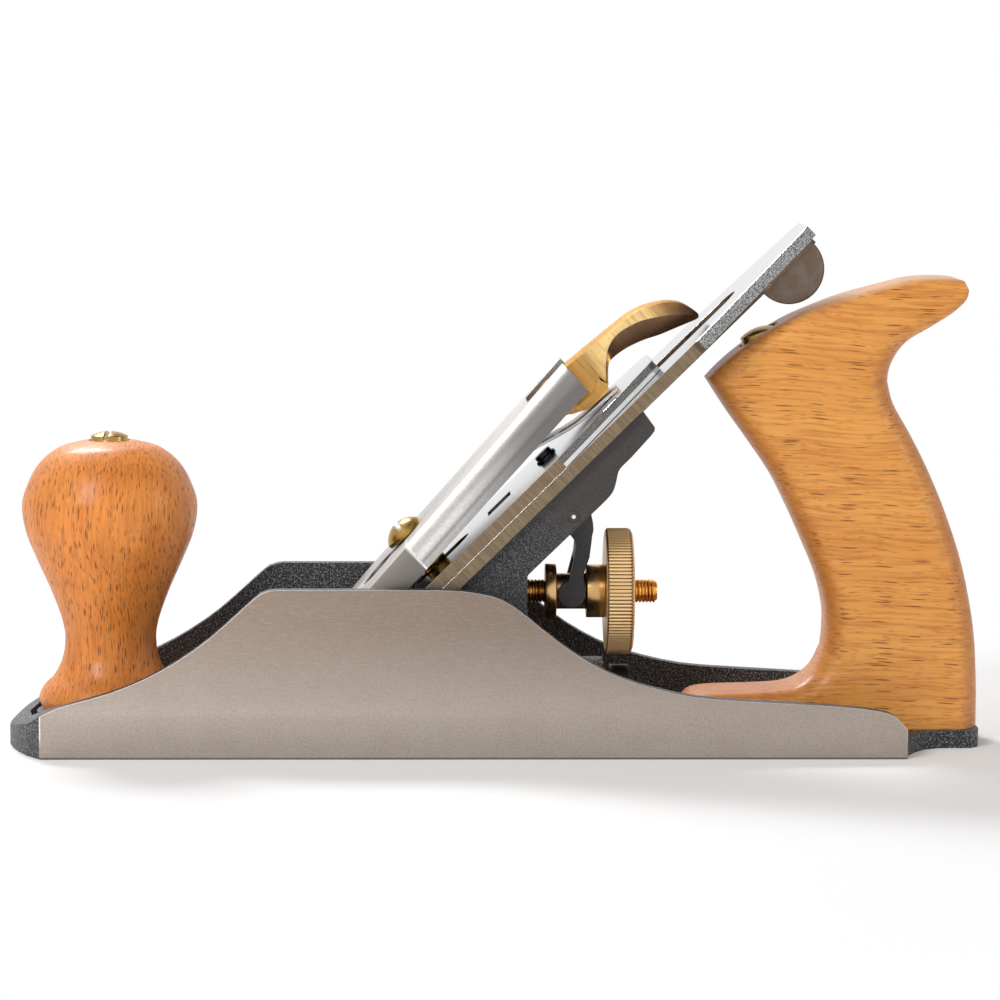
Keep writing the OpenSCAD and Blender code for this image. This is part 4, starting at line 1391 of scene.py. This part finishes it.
@dataclass
class LeverCap:
    """Lever cap with its spring, pin and cam lever."""

    looks: Finishes
    pin_u: float = 110.0
    pin_w: float = 15.5
    cam_half: float = 7.7
    cam_bore: float = 1.85
    nose_radius: float = 4.6
    scallop_depth: float = 0.7
    scallop_reach: float = 3.3
    outline: Rows = (
        (109, 19.9), (118.4, 19.9), (122.2, 19.4), (122, 16.4), (121.3, 13.8), (120.8, 11.5), (121.5, 9.6),
        (120.8, 8.4), (117.4, 8.2), (115.8, 8.3), (113.2, 8.6), (109.6, 10.4), (106.2, 13.4), (106, 17.4))
    scallop: Rows = (
        (112, 21), (122.6, 21), (122.4, 19.1), (122, 16.4), (121.3, 13.8), (120.6, 12.2), (118.3, 10.9),
        (112, 10.9))
    thumb: Rows = (
        (120.5, 19.7, 121.5, 10.2, 121.4, 9, 7.7, 5.6), (127.8, 19, 125.5, 14.2, 124.6, 12.3, 7.7, 5.2),
        (132, 18.6, 128.8, 16.3, 126.6, 13.1, 7.7, 4.8), (136.9, 18.1, 132.5, 16.8, 131, 12.5, 7.6, 4.2),
        (140.5, 17.2, 137.5, 15.6, 135.6, 10.9, 7.3, 3.6), (144, 15.5, 141.5, 13.4, 139.6, 8.9, 6.8, 3),
        (147, 13.4, 144.6, 11.2, 143.5, 7.3, 5.9, 2.4), (149.2, 10.7, 147.2, 8.9, 146.6, 6, 4.6, 1.8),
        (150.2, 7.4, 148.9, 6.5, 148.7, 5.1, 2.8, 1), (150.4, 5.5, 150, 5.1, 149.8, 4.8, 0.9, 0.4))

    def thumb_section(self, row: tuple[float, ...]) -> list[Vector]:
        """Section of the cam's thumb piece at one station."""
        tu, tw, mu, mw, lu, lw, wide, narrow = row
        return [bed(lu, narrow, lw), bed(mu, wide, mw), bed(tu, wide, tw),
                bed(tu, -wide, tw), bed(mu, -wide, mw), bed(lu, -narrow, lw)]

    def prism(self, name: str, outline: Rows, low: float, high: float) -> Piece:
        """Straight solid across the plane over an outline on the bed's side."""
        return new_piece(name, loft([[bed(u, y, w) for u, w in outline] for y in (low, high)]))

    def round_bar(self, name: str, radius: float, reach: float) -> Piece:
        """Round solid about the cam's pin."""
        return new_piece(name, lathe(
            [(0, -reach), (radius, -reach), (radius, reach), (0, reach)], FACETS,
            lambda a, b, h: bed(self.pin_u + a, h, self.pin_w + b)))

    def make_cam(self) -> Piece:
        """Join the cam's nose block, its round and its thumb piece, then cut the scallops and the bore.

        Returns:
            The cam.
        """
        half = self.cam_half
        inner, outer = half - self.scallop_depth, half + self.scallop_reach
        block = self.prism("cam", self.outline, -half, half)
        thumb = new_piece("thumb", loft([self.thumb_section(r) for r in smooth_points(self.thumb, 6)]))
        reshape(block, thumb, Shaping.JOIN)
        reshape(block, self.round_bar("nose", self.nose_radius, half), Shaping.JOIN)
        for low, high in ((-outer, -inner), (inner, outer)):
            reshape(block, self.prism("scallop", self.scallop, low, high), Shaping.CUT)
        reshape(block, self.round_bar("bore", self.cam_bore, reach=20.0), Shaping.CUT)
        bm = bmesh.new()
        bm.from_mesh(block.data)
        bmesh.ops.dissolve_limit(bm, angle_limit=math.radians(1.0), verts=bm.verts, edges=bm.edges)
        bm.to_mesh(block.data)
        bm.free()
        return eased(block, width=0.22, segments=2, angle=30.0, sharp=34.0)

    def build(self) -> None:
        """Build and dress the lever cap."""
        looks = self.looks
        dress_copy("lever_cap", "lever_cap", "satin_steel", looks.satin, 0.25)
        dress_copy("lever_cap_spring", "lever_cap", "steel", looks.steel, 0.12)
        dress_copy("spring_rivet", "lever_cap", "steel", looks.steel, 0.3)
        dress_copy("cam_pin", "lever_cap", "steel", looks.steel, 0.2)
        dress(self.make_cam(), "cam", "brass", looks.cam_brass, "cam_lever")


@dataclass
class Studio:
    """Floor, lamps, world and camera."""

    eye: Triple = (-20.55, -1011.3, 166.4)
    focal_px: float = 3969.4
    frame_px: float = 1000.0
    sensor: float = 36.0
    yaw: float = 1.25
    pitch: float = 5.89
    roll: float = 0.18
    floor_matt: Colour = (0.94, 0.94, 0.94)
    fill: float = 0.42
    ceiling_loss: float = 0.8

    def background_rays(self, t: Tree) -> tuple[Sock, Sock]:
        """Rays that see the background itself, and the glossy ones among them.

        Args:
            t: the tree that asks.

        Returns:
            1 for such a ray, and 1 for a glossy one.
        """
        ray = t.node("ShaderNodeLightPath", out="Is Camera Ray")
        glossy = ray.twin("Is Glossy Ray")
        return ray.larger(glossy).larger(ray.twin("Is Transmission Ray")), glossy

    def backdrop(self) -> Material:
        """Floor that shows white, keeps a soft shadow near the plane and fades into the world.

        Returns:
            The material.
        """
        t = Tree.named("studio_floor")
        x, y, _ = t.split(t.place())
        seen, _ = self.background_rays(t)
        share = 0.08 + t.ring(x * 0.6, y).over(0.13, 0.3) * 0.92
        lamp = t.node("ShaderNodeEmission", None, {"Color": WHITE, "Strength": 1.0})
        matt = t.node("ShaderNodeBsdfDiffuse", None, {"Color": self.floor_matt})
        mixed = t.node("ShaderNodeMixShader", None, {0: seen * share, 1: matt, 2: lamp})
        t.node("ShaderNodeOutputMaterial", None, {"Surface": mixed})
        return t.owner

    def set_world(self) -> None:
        """White background with a darker ceiling in the metals, and a plain fill on the rest."""
        world = bpy.data.worlds.new("studio")
        bpy.context.scene.world = world
        t = Tree(world)
        seen, glossy = self.background_rays(t)
        right, _, high = t.split(t.node("ShaderNodeTexCoord", out="Generated"))
        ceiling = glossy * high.over(0.45, 0.85) * right.over(-0.6, -0.2)
        white = t.node(
            "ShaderNodeBackground", None, {"Color": WHITE, "Strength": 1.0 - ceiling * self.ceiling_loss})
        fill = t.node("ShaderNodeBackground", None, {"Color": WHITE, "Strength": self.fill})
        mixed = t.node("ShaderNodeMixShader", None, {0: seen, 1: fill, 2: white})
        t.node("ShaderNodeOutputWorld", None, {"Surface": mixed})

    def lamp(self, name: str, place: Triple, target: Triple, size: tuple[float, float], power: float) -> None:
        """Add one rectangular lamp.

        Args:
            name: the lamp's name.
            place: where it hangs, in metres.
            target: what it points at.
            size: its width and height.
            power: its power in watts.
        """
        data = bpy.data.lights.new(name, "AREA")
        data.shape = "RECTANGLE"
        data.size, data.size_y = size
        data.energy = power
        made = bpy.data.objects.new(name, data)
        made.location = place
        made.rotation_euler = (Vector(target) - Vector(place)).to_track_quat("-Z", "Y").to_euler()
        bpy.context.scene.collection.objects.link(made)

    def set_camera(self) -> None:
        """Camera at the photograph's viewing angle."""
        yaw, pitch, roll = (math.radians(v) for v in (self.yaw, self.pitch, self.roll))
        ahead = Vector((math.sin(yaw) * math.cos(pitch), math.cos(yaw) * math.cos(pitch), -math.sin(pitch)))
        right = Vector((math.cos(yaw), -math.sin(yaw), 0.0))
        up = right.cross(ahead)
        right2 = math.cos(roll) * right + math.sin(roll) * up
        up2 = -math.sin(roll) * right + math.cos(roll) * up
        data = bpy.data.cameras.new("camera")
        data.sensor_width = self.sensor
        data.sensor_fit = "HORIZONTAL"
        data.lens = self.focal_px / self.frame_px * self.sensor
        data.clip_start = 0.05
        data.clip_end = 20.0
        made = bpy.data.objects.new("camera", data)
        turn = Matrix((right2, up2, -ahead)).transposed().to_4x4()
        made.matrix_world = Matrix.Translation(Vector(self.eye) * MM) @ turn
        bpy.context.scene.collection.objects.link(made)
        bpy.context.scene.camera = made

    def build(self) -> None:
        """Build the studio."""
        bm = bmesh.new()
        bmesh.ops.create_grid(bm, x_segments=1, y_segments=1, size=4.0)
        floor = new_piece("floor", bm)
        floor.data.materials.append(self.backdrop())
        self.set_world()
        self.lamp("key", (-0.55, -0.8, 0.7), (-0.02, 0.0, 0.05), (0.4, 0.4), 6.0)
        self.lamp("side", (0.85, -0.3, 0.3), (0.0, 0.0, 0.05), (0.12, 0.5), 0.8)
        self.lamp("back", (-0.3, 0.6, 0.75), (0.0, 0.0, 0.05), (0.3, 0.3), 6.5)
        self.set_camera()
        bpy.context.scene.view_settings.view_transform = "Standard"


def main() -> None:
    """Build the plane and its studio."""
    logging.basicConfig(level=logging.INFO, format="%(name)s: %(message)s")
    looks = Finishes()
    threads = Threads()
    for part in (Body(looks), Frog(looks, threads), DepthAdjuster(looks, threads), Cutter(looks),
                 LateralAdjuster(looks), LeverCap(looks), Studio()):
        LOG.info("building %s", type(part).__name__)
        part.build()


if __name__ == "__main__":
    main()
